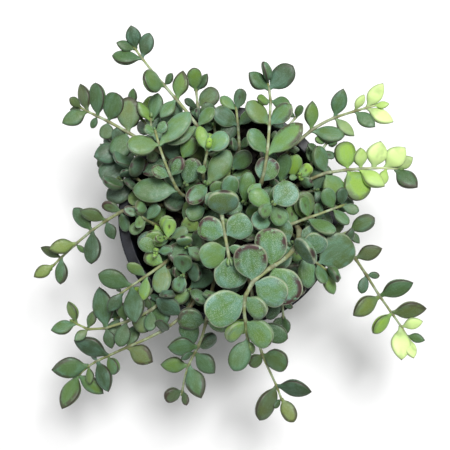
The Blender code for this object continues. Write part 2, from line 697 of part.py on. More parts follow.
def obstacle(rings, owner, **ends):
    corners, faces = shell_faces(rings, **ends)
    return obstacle_of(corners, faces, owner)


def solid_obstacle(obj):
    """An obstacle from an object in metres."""
    points = [corner.co / MM for corner in obj.data.vertices]
    obj.data.calc_loop_triangles()
    return obstacle_of(points, [tuple(triangle.vertices) for triangle in obj.data.loop_triangles], None)


def meets(candidate, obstacles):
    return any(
        (candidate.low < other.high).all() and (candidate.high > other.low).all()
        and candidate.tree.overlap(other.tree)
        for other in obstacles
    )


def cross(one, other):
    """Whether two skins cross each other, leaving out the triangles that share a corner."""
    def places(skin, face):
        return {tuple(skin.corners[corner]) for corner in skin.faces[face]}
    return any(not places(one, a) & places(other, b) for a, b in one.tree.overlap(other.tree))


Seat = namedtuple("Seat", "number rank sign start forward side corners tip width")


def leaf_seats(number, stem, rings, pairs):
    """Where each leaf could grow on a stem, with the way to its tip where that is listed."""
    seats = []
    tube = tube_of(rings)
    for lower, upper, before, after in zip(rings, rings[1:], tube, tube[1:]):
        if lower.pair is None or lower.pair != upper.pair:
            continue
        forward = (upper.centre - lower.centre).normalized()
        middle = (lower.centre + upper.centre) / 2
        half = (lower.half + upper.half) / 2
        faces = [(before[k - 1], before[k], after[k], after[k - 1]) for k in range(4)]
        tips = pairs[lower.pair].tips
        for sign, listed in ((1, 0), (-1, 1)):
            side = (lower.side + upper.side).normalized() * sign
            if tips and listed >= len(tips):
                continue
            start = middle + side * half
            tip = tips[listed].way - side * half if tips else None
            width = tips[listed].width if tips else stem.width
            corners = max(faces, key=lambda face: sum(face, Vector()).dot(side))
            seats.append(Seat(number, lower.pair, sign, start, forward, side, list(corners), tip, width))
    return seats


def grown(stem, seat, draw, attempt):
    """One try at a leaf: each later try leans further from the first and is a little shorter."""
    lean = MOST_LEAN * attempt / LEAF_TRIES
    shrink = 1 - (1 - LEAST_LEAF) * attempt / LEAF_TRIES
    wander = Vector([draw.uniform(-1, 1) for _ in range(3)])
    if seat.tip:
        outward = seat.tip.normalized()
        length = seat.tip.length * shrink
    else:
        spread = math.radians(min(WIDEST_SPREAD, TIP_SPREAD + SPREAD_STEP * seat.rank))
        outward = seat.forward * math.cos(spread) + seat.side * math.sin(spread) + wander * WANDER
        length = stem.leaf * min(1, FIRST_LENGTH + LENGTH_STEP * seat.rank) * shrink
        length *= draw.uniform(*LENGTH_RANGE)
    outward = (outward + wander * lean).normalized()
    least = LEAST_OUTWARD + MORE_OUTWARD * attempt / LEAF_TRIES
    short = least - outward.dot(seat.side)
    if short > 0:
        outward = (outward + seat.side * short).normalized()
    face = seat.forward * FACE_FORWARD + UP * FACE_UP
    face += Vector([draw.uniform(-1, 1) for _ in range(3)]) * FACE_WANDER
    face = (face - outward * face.dot(outward)).normalized()
    stations = STATIONS if seat.tip or seat.rank == 0 else PLAIN_STATIONS
    return Leaf(seat.start, outward, face, length, seat.width, stations)


def lifted_foot(seat, ring):
    """The corners that a leaf grows from, drawn in and lifted a little to clear the stem's own skin."""
    return [
        seat.start + (corner - seat.start) * FOOT_SHARE + seat.side * FOOT_LIFT
        for corner in least_twist(ring, seat.corners)
    ]


def grow_leaves(stems, all_rings, all_pairs, fixed):
    """A leaf for every seat with room for one, listed ones and the highest first."""
    tubes = [
        obstacle(tube_of(rings), number, tip=bud_of(rings))
        for number, rings in enumerate(all_rings)
    ]
    seats = []
    for number, (stem, rings, pairs) in enumerate(zip(stems, all_rings, all_pairs)):
        seats += leaf_seats(number, stem, rings, pairs)
    seats.sort(key=lambda seat: (seat.tip is None, -seat.start.z))
    placed, leaves = [], {}
    blades = [[] for _ in stems]
    grown_ones = [[] for _ in stems]
    for seat in seats:
        draw = random.Random(1000 * seat.number + 10 * seat.rank + seat.sign)
        others = [tube for tube in tubes if tube.owner != seat.number]
        for attempt in range(LEAF_TRIES):
            leaf = grown(stems[seat.number], seat, draw, attempt)
            foot, rings, tip = sections(leaf, LEAF_GAP)
            whole = obstacle(rings, seat.number, tip=tip, start=foot)
            outer = obstacle(rings, seat.number, tip=tip)
            strangers = [skin for skin in placed if skin.owner != seat.number]
            if meets(whole, others + fixed + strangers):
                continue
            if meets(outer, [tubes[seat.number]] + blades[seat.number]):
                continue
            foot, rings, tip = sections(leaf)
            lifted = obstacle(rings, seat.number, tip=tip, start=lifted_foot(seat, rings[0]))
            if meets(lifted, [tubes[seat.number]] + grown_ones[seat.number]):
                continue
            exact = obstacle(rings, seat.number, tip=tip, start=least_twist(rings[0], seat.corners))
            if cross(exact, exact) or cross(exact, tubes[seat.number]):
                continue
            placed.append(obstacle(rings, seat.number, tip=tip, start=foot))
            blades[seat.number].append(obstacle(rings, seat.number, tip=tip))
            grown_ones[seat.number].append(lifted)
            leaves[seat.number, seat.rank, seat.sign] = leaf
            break
    listed = sum(seat.tip is not None for seat in seats)
    kept = sum((seat.number, seat.rank, seat.sign) in leaves for seat in seats if seat.tip)
    print(f"{len(leaves)} leaves on {len(stems)} stems, of {len(seats)}; {kept} of the {listed} listed")
    return leaves


def move_face(bm, face, corners):
    """Extrudes a face, puts its corners in place in the order that twists least, and returns it."""
    made = bmesh.ops.extrude_discrete_faces(bm, faces=[face])["faces"][0]
    placed = least_twist([vert.co for vert in made.verts], corners)
    for vert, corner in zip(made.verts, placed):
        vert.co = corner
    return made


def close_to_point(bm, face, point):
    made = bmesh.ops.poke(bm, faces=[face])
    made["verts"][0].co = point


def make_stem(stem, number, rings, leaves, parts):
    """One leafy stem: a square tube extruded ring by ring, with each leaf extruded from its side."""
    bm = bmesh.new()
    bmesh.ops.create_cone(bm, cap_ends=True, segments=4, radius1=1, radius2=1, depth=1)
    caps = [face for face in bm.faces if abs(face.normal.z) > 0.5]
    bottom, top = sorted(caps, key=lambda face: face.normal.z)
    for face, ring in ((bottom, rings[0]), (top, rings[1])):
        corners = ring_corners(ring)
        for vert in face.verts:
            turn = math.atan2(vert.co.y, vert.co.x)
            vert.co = corners[round(turn / (math.pi / 2)) % 4]
    seats = {}
    for lower, upper in zip(rings[1:], rings[2:]):
        top = move_face(bm, top, ring_corners(upper))
        if lower.pair is None or lower.pair != upper.pair:
            continue
        sides = {face for edge in top.edges for face in edge.link_faces if face is not top}
        middle = (lower.centre + upper.centre) / 2
        for sign in (1, -1):
            leaf = leaves.get((number, lower.pair, sign))
            if leaf:
                way = lower.side * sign
                seats[max(sides, key=lambda face: (face.calc_center_median() - middle).dot(way))] = leaf
    close_to_point(bm, top, bud_of(rings))
    for face, leaf in seats.items():
        _, station_rings, tip = sections(leaf)
        for corners in station_rings:
            face = move_face(bm, face, corners)
        close_to_point(bm, face, tip)
    bmesh.ops.recalc_face_normals(bm, faces=bm.faces)
    return new_object(stem.name, bm, parts, "leaf")


def main():
    clear_scene()
    parts = new_collection("potted_cotyledon")
    cutters = new_collection("cutters")
    stems = STEMS + shoots()
    roots = spread_roots(stems)
    pot = make_pot(parts, cutters)
    soil = make_soil(parts, cutters, roots)
    routes = bend_clear([route_of(stem, root) for stem, root in zip(stems, roots)])
    all_pairs = [
        pairs_of(number, stem, route)
        for number, (stem, route) in enumerate(zip(stems, routes))
    ]
    all_rings = [
        rings_of(number, stem, route, pairs)
        for number, (stem, route, pairs) in enumerate(zip(stems, routes, all_pairs))
    ]
    leaves = grow_leaves(stems, all_rings, all_pairs, [solid_obstacle(pot), solid_obstacle(soil)])
    for number, (stem, rings) in enumerate(zip(stems, all_rings)):
        make_stem(stem, number, rings, leaves, parts)


main()
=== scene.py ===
# %% [markdown]
# # A trailing cotyledon in a black nursery pot
#
# The plant is a small succulent. Its thin stems lean out over the rim of a plastic pot, and carry
# fleshy leaves in opposite pairs. The sizes and places were settled in a plain model of flat faces,
# which is loaded here as a fixed frame. This lesson gives every piece of it its fine surface.
#
# The frame is in metres, with Z up and the middle of the pot's base at the origin.

# %% Load the frame
import json
import math
import random
from collections import namedtuple

import bmesh
import bpy
import numpy as np
from mathutils import Matrix, Vector

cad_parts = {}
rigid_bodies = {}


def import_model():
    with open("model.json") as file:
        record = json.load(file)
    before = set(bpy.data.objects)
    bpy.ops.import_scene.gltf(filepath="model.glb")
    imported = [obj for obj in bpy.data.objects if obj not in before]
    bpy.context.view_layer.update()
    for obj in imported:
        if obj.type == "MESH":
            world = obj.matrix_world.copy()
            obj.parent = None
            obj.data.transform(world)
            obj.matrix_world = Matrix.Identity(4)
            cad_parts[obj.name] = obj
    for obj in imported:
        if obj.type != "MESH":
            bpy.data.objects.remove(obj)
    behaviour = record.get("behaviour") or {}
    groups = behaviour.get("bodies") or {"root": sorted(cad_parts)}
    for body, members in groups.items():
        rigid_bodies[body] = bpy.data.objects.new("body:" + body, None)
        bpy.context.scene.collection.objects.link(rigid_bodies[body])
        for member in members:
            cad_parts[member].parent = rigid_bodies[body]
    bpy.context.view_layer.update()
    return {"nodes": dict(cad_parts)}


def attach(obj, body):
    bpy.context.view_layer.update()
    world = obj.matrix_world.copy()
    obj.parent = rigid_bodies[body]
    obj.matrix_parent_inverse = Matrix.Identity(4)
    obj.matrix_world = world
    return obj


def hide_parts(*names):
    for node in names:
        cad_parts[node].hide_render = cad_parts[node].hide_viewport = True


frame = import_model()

MM = 0.001
UP = Vector((0, 0, 1))
plant_nodes = sorted(name for name in frame["nodes"] if name.startswith(("stem_", "shoot_")))
print(len(plant_nodes), "leafy stems, and", sorted(set(frame["nodes"]) - set(plant_nodes)))

# %% [markdown]
# ## The camera
#
# The plant is seen from straight above. A camera looks along its own -Z axis, so one that isn't
# turned at all looks down, with +Y at the top of the picture. Its distance matters even then: what
# stands up towards the camera looks larger, and the plant was measured with that in mind.

# %% Camera
RIM_HEIGHT = 0.108
EYE_ABOVE_RIM = 0.480
VIEW_WIDTH = 450
VIEW_STEP = 0.636 * MM
POT_SEEN_AT = (228.0, 216.5)
SENSOR = 36.0


def new_object(name, data):
    made = bpy.data.objects.new(name, data)
    bpy.context.scene.collection.objects.link(made)
    return made


centre_x = (VIEW_WIDTH / 2 - POT_SEEN_AT[0]) * VIEW_STEP
centre_y = (POT_SEEN_AT[1] - VIEW_WIDTH / 2) * VIEW_STEP
camera = new_object("camera", bpy.data.cameras.new("camera"))
camera.location = (centre_x, centre_y, RIM_HEIGHT + EYE_ABOVE_RIM)
camera.data.sensor_width = SENSOR
camera.data.lens = SENSOR * EYE_ABOVE_RIM / (VIEW_WIDTH * VIEW_STEP)
camera.data.clip_start = 10 * MM
bpy.context.scene.camera = camera
print(f"lens {camera.data.lens:.1f} mm, {camera.location.z:.3f} m above the floor")


def place_in_view(point):
    """Where a point is seen, in steps across and down from the view's corner."""
    step = VIEW_STEP * (camera.location.z - point.z) / EYE_ABOVE_RIM
    half = VIEW_WIDTH / 2
    return half + (point.x - centre_x) / step, half - (point.y - centre_y) / step


# %% [markdown]
# ## Nodes with less typing
#
# Materials and Geometry Nodes are both trees of nodes. These helpers add a node, set its properties
# and fill its inputs in one line: an input takes either a value or another node's output. The whole
# lesson is built on them, because a tree is then as short to read as the sum that it does.

# %% Helpers for node trees
# A Mix node has sockets for every kind of value. These are the numbers of those for colours.
MIX_SHARE, MIX_FIRST, MIX_SECOND, MIX_RESULT = 0, 6, 7, 2


def add(tree, kind, inputs=(), **settings):
    made = tree.nodes.new(kind)
    for name, value in settings.items():
        setattr(made, name, value)
    for name, value in dict(inputs).items():
        if isinstance(value, bpy.types.NodeSocket):
            tree.links.new(value, made.inputs[name])
        else:
            made.inputs[name].default_value = value
    return made


def calc(tree, operation, *values):
    made = add(tree, "ShaderNodeMath", enumerate(values), operation=operation)
    return made.outputs[0]


def mixed(tree, share, first, second):
    """Two colours mixed: the first at a share of 0, the second at 1."""
    colours = {MIX_SHARE: share, MIX_FIRST: first, MIX_SECOND: second}
    return add(tree, "ShaderNodeMix", colours, data_type="RGBA").outputs[MIX_RESULT]


def eased(tree, value, low, high, start=0.0, end=1.0):
    """A value that goes smoothly from start to end while the input goes from low to high."""
    limits = {"Value": value, "From Min": low, "From Max": high, "To Min": start, "To Max": end}
    made = add(tree, "ShaderNodeMapRange", limits, interpolation_type="SMOOTHSTEP")
    return made.outputs["Result"]


# %% [markdown]
# ## Finishes with less typing
#
# Every surface here has one Principled shader, and its patterns are noise. Colours are written as a
# screen shows them, from 0 to 255, because that is how a colour is judged by eye, and are turned
# into the even scale of light that a shader counts in.

# %% Helpers for finishes
def noise(tree, place, scale, detail=2.0):
    made = add(tree, "ShaderNodeTexNoise", {"Vector": place, "Scale": scale, "Detail": detail})
    return made.outputs["Fac"]


def colour(*parts):
    """A colour from its three parts as a screen shows them, from 0 to 255."""
    return (*(((part / 255 + 0.055) / 1.055) ** 2.4 for part in parts), 1.0)


def new_finish(name, **values):
    """A material with its tree, its main shader and its Object coordinates."""
    made = bpy.data.materials.new(name)
    made.use_nodes = True
    shader = made.node_tree.nodes["Principled BSDF"]
    for socket, value in values.items():
        shader.inputs[socket.replace("_", " ")].default_value = value
    place = add(made.node_tree, "ShaderNodeTexCoord").outputs["Object"]
    return made, made.node_tree, shader, place


def roughen(tree, shader, height, depth, strength=1.0):
    """Bumps as deep as `depth` metres wherever the height is 1."""
    bump = add(tree, "ShaderNodeBump", {"Height": height, "Distance": depth, "Strength": strength})
    tree.links.new(bump.outputs["Normal"], shader.inputs["Normal"])


# %% [markdown]
# ## The leaves' finish: where its patterns come from
#
# A leaf of this plant is green under a thin coat of pale meal, which makes it look blue-grey. Its
# patterns follow the leaf: a margin, a coat rubbed off in the middle, streaks from foot to tip. A
# painted image could hold them, but every leaf would need its own. So the shader reads attributes
# that each leaf carries: how far along it and across it a point lies, how far from the rim, and
# how mealy, flushed, fresh or bleached this leaf is. The streaks are noise on those, drawn out
# along the leaf. Only the clouds, blotches and grains are noise on Object coordinates.

# %% Places and noises on a leaf
CLOUD_SCALE, BLOTCH_SCALE, GRAIN_SCALE = 130.0, 420.0, 2400.0
STREAKS_ACROSS, STREAKS_ALONG, WHIM_APART = 5.0, 2.2, 50.0
LeafSockets = namedtuple("LeafSockets", "along rim upper clouds blotches grains streaks")


def carried(tree, name):
    """An attribute that the piece carries, as one number."""
    return add(tree, "ShaderNodeAttribute", attribute_name=name).outputs["Fac"]


def product(tree, *values):
    result = values[0]
    for value in values[1:]:
        result = calc(tree, "MULTIPLY", result, value)
    return result


def leaf_streaks(tree):
    """Noise drawn out along the leaf, and different on every leaf."""
    across = product(tree, carried(tree, "across"), STREAKS_ACROSS)
    along = product(tree, carried(tree, "along"), STREAKS_ALONG)
    offset = product(tree, carried(tree, "whim"), WHIM_APART)
    place = add(tree, "ShaderNodeCombineXYZ", {"X": across, "Y": along, "Z": offset})
    return noise(tree, place.outputs[0], 1.0, 3.0)


def leaf_sockets(tree, place):
    return LeafSockets(carried(tree, "along"), carried(tree, "rim"), carried(tree, "upper"),
                       noise(tree, place, CLOUD_SCALE), noise(tree, place, BLOTCH_SCALE, 3.0),
                       noise(tree, place, GRAIN_SCALE, 3.0), leaf_streaks(tree))


# %% [markdown]
# ## The coat of meal
#
# The flesh is a mix of greens, as this leaf carries them. The coat over it is thickest near the
# margin and rubbed off in the middle of the upper side, and clouds and streaks break it. The
# finest grains are dark pits and, on some leaves, white specks. One noise gives both: its lowest
# values are the pits and its highest the specks, so they never meet.

# %% Green flesh under meal
LEAF_BLUE = colour(98, 140, 122)
LEAF_GREEN = colour(84, 122, 52)
LEAF_DEEP = colour(38, 60, 30)
LEAF_OLIVE = colour(106, 116, 54)
LEAF_FRESH = colour(134, 172, 54)
LEAF_MEAL = colour(172, 192, 174)
WORN_FROM_RIM = (0.08, 0.4)


def mealy_skin(tree, at):
    # The deep green is partly the leaf's own and partly painted shade on leaves that lie low.
    green = mixed(tree, carried(tree, "deep"), LEAF_GREEN, LEAF_DEEP)
    green = mixed(tree, carried(tree, "olive"), green, LEAF_OLIVE)
    green = mixed(tree, carried(tree, "fresh"), green, LEAF_FRESH)
    worn = product(tree, eased(tree, at.rim, *WORN_FROM_RIM, 1.0, 0.55), at.upper)
    worn = calc(tree, "MAXIMUM", worn, calc(tree, "SUBTRACT", 0.9, at.upper))
    coat = product(tree, carried(tree, "meal"), eased(tree, at.clouds, 0.36, 0.6, 0.15, 1.0),
                   eased(tree, at.streaks, 0.3, 0.6, 0.5, 1.0), worn)
    skin = mixed(tree, coat, green, LEAF_BLUE)
    skin = mixed(tree, eased(tree, at.grains, 0.32, 0.46, 0.3, 0.0), skin, LEAF_DEEP)
    specks = product(tree, eased(tree, at.grains, 0.49, 0.66, 0.0, 0.55),
                     carried(tree, "specks"), eased(tree, at.streaks, 0.25, 0.6, 0.2, 1.0))
    return mixed(tree, specks, skin, LEAF_MEAL)


# %% [markdown]
# ## The marks of age and sun, with painted shade and glare
#
# An old leaf flushes dark red in a band inside its margin, from its middle to its tip. A small
# plump one has a dark painted shade along the crease in its hollow. A leaf that the sun has
# bleached is pale yellow, with a painted glare of strong light that washes it nearly white, and
# stays greenest at its foot and its margin. Each mark is a product of soft steps, so it fades out
# on all sides, and the distance from the rim, in widths of the leaf, gives it the leaf's outline.

# %% Flush, painted crease shade, and bleach with painted glare
LEAF_FLUSH = colour(62, 34, 36)
# Painted shade in the crease of a cupped leaf's hollow.
LEAF_CREASE_SHADE = colour(52, 40, 30)
# Pale yellow of a sun-bleached leaf, washed nearly white as a painted glare of strong light.
LEAF_BLEACHED_AND_GLARE = colour(206, 232, 150)
FLUSH_BAND = (0.10, 0.24)
CREASE_SHADE_FROM_RIM = (0.34, 0.46)
GREEN_BAND = (0.0, 0.1)


def marked_skin(tree, at, skin):
    band = product(tree, eased(tree, at.rim, *FLUSH_BAND, 1.0, 0.0),
                   eased(tree, at.along, 0.3, 0.6), eased(tree, at.blotches, 0.34, 0.46),
                   eased(tree, at.clouds, 0.3, 0.44), at.upper, carried(tree, "flush"))
    skin = mixed(tree, band, skin, LEAF_FLUSH)
    # Painted shade along the crease in the hollow of a small cupped leaf.
    groove_shade = product(tree, eased(tree, at.rim, *CREASE_SHADE_FROM_RIM),
                     eased(tree, at.along, 0.3, 0.5), eased(tree, at.along, 0.8, 0.95, 1.0, 0.0),
                     eased(tree, at.blotches, 0.3, 0.5), at.upper, carried(tree, "crease"))
    skin = mixed(tree, groove_shade, skin, LEAF_CREASE_SHADE)
    # Sun-bleached pale yellow, with a painted glare of strong light over it.
    pale_and_glare = product(tree, carried(tree, "bleach"), eased(tree, at.along, 0.0, 0.5, 0.5, 1.0),
                   eased(tree, at.clouds, 0.3, 0.5, 0.7, 1.0),
                   eased(tree, at.rim, *GREEN_BAND, 0.7, 1.0))
    return mixed(tree, pale_and_glare, skin, LEAF_BLEACHED_AND_GLARE)


# %% [markdown]
# ## The margin and the whole finish
#
# The margin is pale on the mealy leaves in the middle of the plant, and painted brighter there as a
# highlight where the round edge catches the light. On the trailing ones it is a fine dark line,
# with a soft painted shade inside it where the round edge turns from the light. The foot and the
# underside have neither, and the tip is a dark point. Bumps from the grains, blotches and streaks
# take the shine off the skin, and a little light passes through it, as through all fleshy leaves.

# %% Leaf finish
# Colour of the pale margin, made brighter as a painted rim highlight.
LEAF_RIM_AND_HIGHLIGHT = colour(194, 206, 172)
LEAF_LINE = colour(46, 32, 26)
RIM_HIGHLIGHT_BAND = (0.014, 0.056)
LINE_BAND = (0.012, 0.036)
# Width of the painted shade inside the dark line of a trailing leaf.
SHADE_BAND = (0.0, 0.2)
LIGHT_REACH = (0.6, 1.0, 0.3)


def edged_skin(tree, at, skin):
    blade = eased(tree, at.along, 0.04, 0.22)
    turn = eased(tree, at.upper, 0.72, 0.95)
    lined = carried(tree, "line")
    # Pale margin of a mealy leaf with a painted rim highlight, where its round edge catches the
    # light.
    pale_rim_and_highlight = product(tree, eased(tree, at.rim, *RIM_HIGHLIGHT_BAND, 0.75, 0.0), blade, turn,
                   eased(tree, at.streaks, 0.3, 0.55, 0.25, 1.0), carried(tree, "meal"),
                   calc(tree, "SUBTRACT", 1.0, lined))
    skin = mixed(tree, pale_rim_and_highlight, skin, LEAF_RIM_AND_HIGHLIGHT)
    # Painted shade inside the margin of a trailing leaf, where its round edge turns from the light.
    shade = product(tree, eased(tree, at.rim, *SHADE_BAND, 0.55, 0.0), blade, turn, lined)
    skin = mixed(tree, shade, skin, LEAF_DEEP)
    line = product(tree, eased(tree, at.rim, *LINE_BAND, 0.9, 0.0), blade,
                   eased(tree, at.upper, 0.82, 0.96), lined)
    skin = mixed(tree, line, skin, LEAF_LINE)
    return mixed(tree, eased(tree, at.along, 0.955, 1.0), skin, LEAF_LINE)


def make_leaf_finish():
    made, tree, shader, place = new_finish("mealy leaf", Subsurface_Weight=0.08,
                                           Subsurface_Scale=2 * MM, Sheen_Weight=0.08,
                                           Subsurface_Radius=LIGHT_REACH)
    at = leaf_sockets(tree, place)
    skin = edged_skin(tree, at, marked_skin(tree, at, mealy_skin(tree, at)))
    tree.links.new(skin, shader.inputs["Base Color"])
    shine = eased(tree, at.blotches, 0.3, 0.7, 0.44, 0.66)
    tree.links.new(shine, shader.inputs["Roughness"])
    rough = calc(tree, "ADD", calc(tree, "ADD", at.grains, at.blotches), at.streaks)
    roughen(tree, shader, rough, 0.12 * MM, 0.6)
    return made


leaf_finish = make_leaf_finish()
print("leaf finish has", len(leaf_finish.node_tree.nodes), "nodes")

# %% [markdown]
# ## The stems' finish
#
# A stem is woody and brown near the soil and turns yellow-green towards its growing tip, with some
# of the leaves' meal on it. Height above the soil won't do for that, because the long stems hang
# down again. So each stem carries how young it is at every point, how close to a leaf's seat, and
# whether the sun has bleached it there. Where it is bleached it is also painted pale with the glare
# of strong light.

# %% Stem finish
STEM_OLD = colour(96, 86, 58)
STEM_MIDDLE = colour(132, 141, 95)
STEM_YOUNG = colour(140, 156, 86)
STEM_MEAL = colour(164, 180, 150)
STEM_SCAR = colour(76, 64, 42)
# Pale stem where bleached, washed out as a painted glare of strong light.
STEM_BLEACHED_AND_GLARE = colour(214, 226, 176)


def make_stem_finish():
    made, tree, shader, place = new_finish("green stem", Roughness=0.6, Subsurface_Weight=0.05,
                                           Subsurface_Scale=1 * MM)
    youth = carried(tree, "youth")
    clouds = noise(tree, place, 160.0)
    mottle = noise(tree, place, 700.0, 4.0)
    skin = mixed(tree, eased(tree, youth, 0.1, 0.55), STEM_OLD, STEM_MIDDLE)
    skin = mixed(tree, eased(tree, youth, 0.6, 1.0), skin, STEM_YOUNG)
    coat = product(tree, eased(tree, clouds, 0.42, 0.62), eased(tree, youth, 0.15, 0.5, 0.2, 0.75))
    skin = mixed(tree, coat, skin, STEM_MEAL)
    worn = eased(tree, mottle, 0.45, 0.7, 0.0, 0.4)
    skin = mixed(tree, worn, skin, STEM_OLD)
    skin = mixed(tree, product(tree, carried(tree, "scar"), 0.5), skin, STEM_SCAR)
    skin = mixed(tree, carried(tree, "bleach"), skin, STEM_BLEACHED_AND_GLARE)
    tree.links.new(skin, shader.inputs["Base Color"])
    roughen(tree, shader, mottle, 0.2 * MM)
    return made


stem_finish = make_stem_finish()
print("stem finish has", len(stem_finish.node_tree.nodes), "nodes")

# %% [markdown]
# ## What a leaf looks like
#
# From above a leaf is an egg or a spoon with a narrow foot, a blunt end and a tiny point. In
# section it is slightly hollow on top and round below. A leaf could be drawn by hand and copied,
# but a short table is easier to change. Five forms are enough, because every leaf is stretched to
# its own width, length and thickness. Each form has its own hollow, its length for a width of 1,
# and eight stations from foot to point: the share of the way to the tip, and the width, the rise
# of the top and the drop of the underside there as shares of the whole leaf's.

# %% Table of leaf forms
LEAF_FORMS = {
    "a_narrow": (0.05, 2.0, [
        (-0.05, 0.22, 0.34, 0.30), (0.07, 0.26, 0.34, 0.32), (0.20, 0.60, 0.56, 0.56),
        (0.37, 0.90, 0.88, 0.88), (0.56, 1.00, 1.00, 1.00), (0.75, 0.88, 0.92, 0.88),
        (0.89, 0.59, 0.70, 0.64), (0.965, 0.27, 0.38, 0.32)]),
    "b_middle": (0.16, 1.5, [
        (-0.05, 0.17, 0.32, 0.28), (0.06, 0.21, 0.32, 0.30), (0.17, 0.58, 0.56, 0.56),
        (0.35, 0.91, 0.90, 0.90), (0.56, 1.00, 1.00, 1.00), (0.76, 0.90, 0.94, 0.90),
        (0.90, 0.62, 0.74, 0.66), (0.972, 0.29, 0.40, 0.34)]),
    "c_round": (0.26, 1.2, [
        (-0.05, 0.11, 0.30, 0.26), (0.05, 0.14, 0.30, 0.28), (0.15, 0.52, 0.54, 0.54),
        (0.33, 0.90, 0.90, 0.90), (0.56, 1.00, 1.00, 1.00), (0.77, 0.93, 0.96, 0.92),
        (0.91, 0.69, 0.80, 0.72), (0.98, 0.36, 0.48, 0.42)]),
    "d_cupped": (0.75, 1.4, [
        (-0.05, 0.16, 0.34, 0.30), (0.06, 0.20, 0.36, 0.32), (0.17, 0.56, 0.60, 0.60),
        (0.35, 0.90, 0.92, 0.92), (0.58, 1.00, 1.00, 1.00), (0.78, 0.93, 0.98, 0.94),
        (0.91, 0.70, 0.84, 0.78), (0.98, 0.40, 0.52, 0.46)]),
    "e_pointed": (0.08, 1.8, [
        (-0.05, 0.22, 0.34, 0.30), (0.07, 0.26, 0.34, 0.32), (0.19, 0.60, 0.58, 0.58),
        (0.35, 0.92, 0.90, 0.90), (0.53, 1.00, 1.00, 1.00), (0.72, 0.82, 0.88, 0.84),
        (0.87, 0.50, 0.62, 0.56), (0.955, 0.21, 0.34, 0.28)]),
}
print(len(LEAF_FORMS), "forms")

# %% [markdown]
# ## Rings and the rim
#
# A leaf's skin is stretched over rings of points, one ring at each station. The points lie closer
# near the margin, where the skin turns over. Powers a little under 1 make a ring fuller than an
# ellipse. The distance from the rim is measured here too, in the flat outline, because a shader
# can't see an outline.

# %% Rings of a leaf
ROUND_ANGLES = (0, 24, 54, 90, 126, 156, 180, 235, 305)
TOP_SHARE = 0.36
SIDE_POWER, TOP_POWER, UNDER_POWER = 0.86, 0.8, 0.9


def unit(value):
    """The value, kept between 0 and 1."""
    return min(1.0, max(0.0, value))


def with_betweens(rows):
    """Rows of numbers with one more between each two, on a smooth curve through them."""
    rows = np.array(rows, float)
    slopes = (np.vstack((rows[1:], rows[-1:])) - np.vstack((rows[:1], rows[:-1]))) / 2
    between = (rows[:-1] + rows[1:]) / 2 + (slopes[:-1] - slopes[1:]) / 8
    return np.insert(rows, range(1, len(rows)), between, axis=0)


def leaf_ring(station, dish, angles):
    """The points of one ring, with how far across each lies and whether on the upper side."""
    along, width, rise, drop = station
    for angle in angles:
        c, s = math.cos(math.radians(angle)), math.sin(math.radians(angle))
        across = math.copysign(abs(c) ** SIDE_POWER, c)
        if s >= 0:
            hollow = dish * (1 - abs(c)) * math.sin(math.pi * unit(along))
            z = TOP_SHARE * (rise * s ** TOP_POWER - hollow)
        else:
            z = -(1 - TOP_SHARE) * drop * abs(s) ** UNDER_POWER
        yield (0.5 * width * across, along, z), across, float(s >= 0)


def rim_distance(x, along, outline, slimness):
    """How far a point lies from the leaf's outline on its side, in widths of the leaf."""
    here = Vector((abs(x), along * slimness))
    distances = []
    for start, end in zip(outline, outline[1:]):
        run = end - start
        share = unit((here - start).dot(run) / run.length_squared)
        distances.append((start + run * share - here).length)
    return min(distances)


fine_angles = with_betweens([(angle,) for angle in (*ROUND_ANGLES, 360)])[:-1, 0]
print(len(ROUND_ANGLES), "points in a ring, or", len(fine_angles), "in a fine one")

# %% [markdown]
# ## Making the forms
#
# A leaf is repeated hundreds of times, so it has few faces and is shaded smooth. Corners then show
# only on the few large leaves and on those seen against the ground, so each form is also made with
# points between, for them. Every point of a form keeps the attributes that the finish reads.

# %% Leaf forms
TIP_AT = 1.01


def join_rings(bm, rings, first, last):
    """Closes a body of rings that have as many points each, with one more point at either end."""
    count = len(rings[0])
    for k in range(count):
        after = (k + 1) % count
        bm.faces.new((first, rings[0][k], rings[0][after]))
        bm.faces.new((last, rings[-1][after], rings[-1][k]))
        for lower, upper in zip(rings, rings[1:]):
            bm.faces.new((lower[k], upper[k], upper[after], lower[after]))
    bmesh.ops.recalc_face_normals(bm, faces=bm.faces)


def mesh_from(name, bm):
    mesh = bpy.data.meshes.new(name)
    bm.to_mesh(mesh)
    bm.free()
    return mesh


def make_leaf_form(name, dish, slimness, stations, angles):
    """One form, a unit long and wide, with what the finish reads at each of its points."""
    bm = bmesh.new()
    keys = ("along", "across", "rim", "upper")
    marks = {key: bm.verts.layers.float.new(key) for key in keys}
    outline = [Vector((0.5 * width, along * slimness)) for along, width, _, _ in stations]
    outline.append(Vector((0, TIP_AT * slimness)))

    def point(place, across, upper):
        vert = bm.verts.new(place)
        rim = rim_distance(place[0], place[1], outline, slimness)
        for key, value in zip(keys, (max(place[1], 0), across, rim, upper)):
            vert[marks[key]] = value
        return vert

    rings = [[point(*item) for item in leaf_ring(station, dish, angles)] for station in stations]
    foot = point((0, stations[0][0], 0), 0, 0)
    tip = point((0, TIP_AT, 0), 0, 1)
    join_rings(bm, rings, foot, tip)
    mesh = mesh_from(name, bm)
    mesh.shade_smooth()
    mesh.materials.append(leaf_finish)
    leaf_forms.objects.link(bpy.data.objects.new(name, mesh))


leaf_forms = bpy.data.collections.new("leaf forms")
for name, (dish, slimness, stations) in LEAF_FORMS.items():
    make_leaf_form(name, dish, slimness, stations, ROUND_ANGLES)
    make_leaf_form(name + "_large", dish, slimness, with_betweens(stations), fine_angles)
form_names = sorted(form.name for form in leaf_forms.objects)

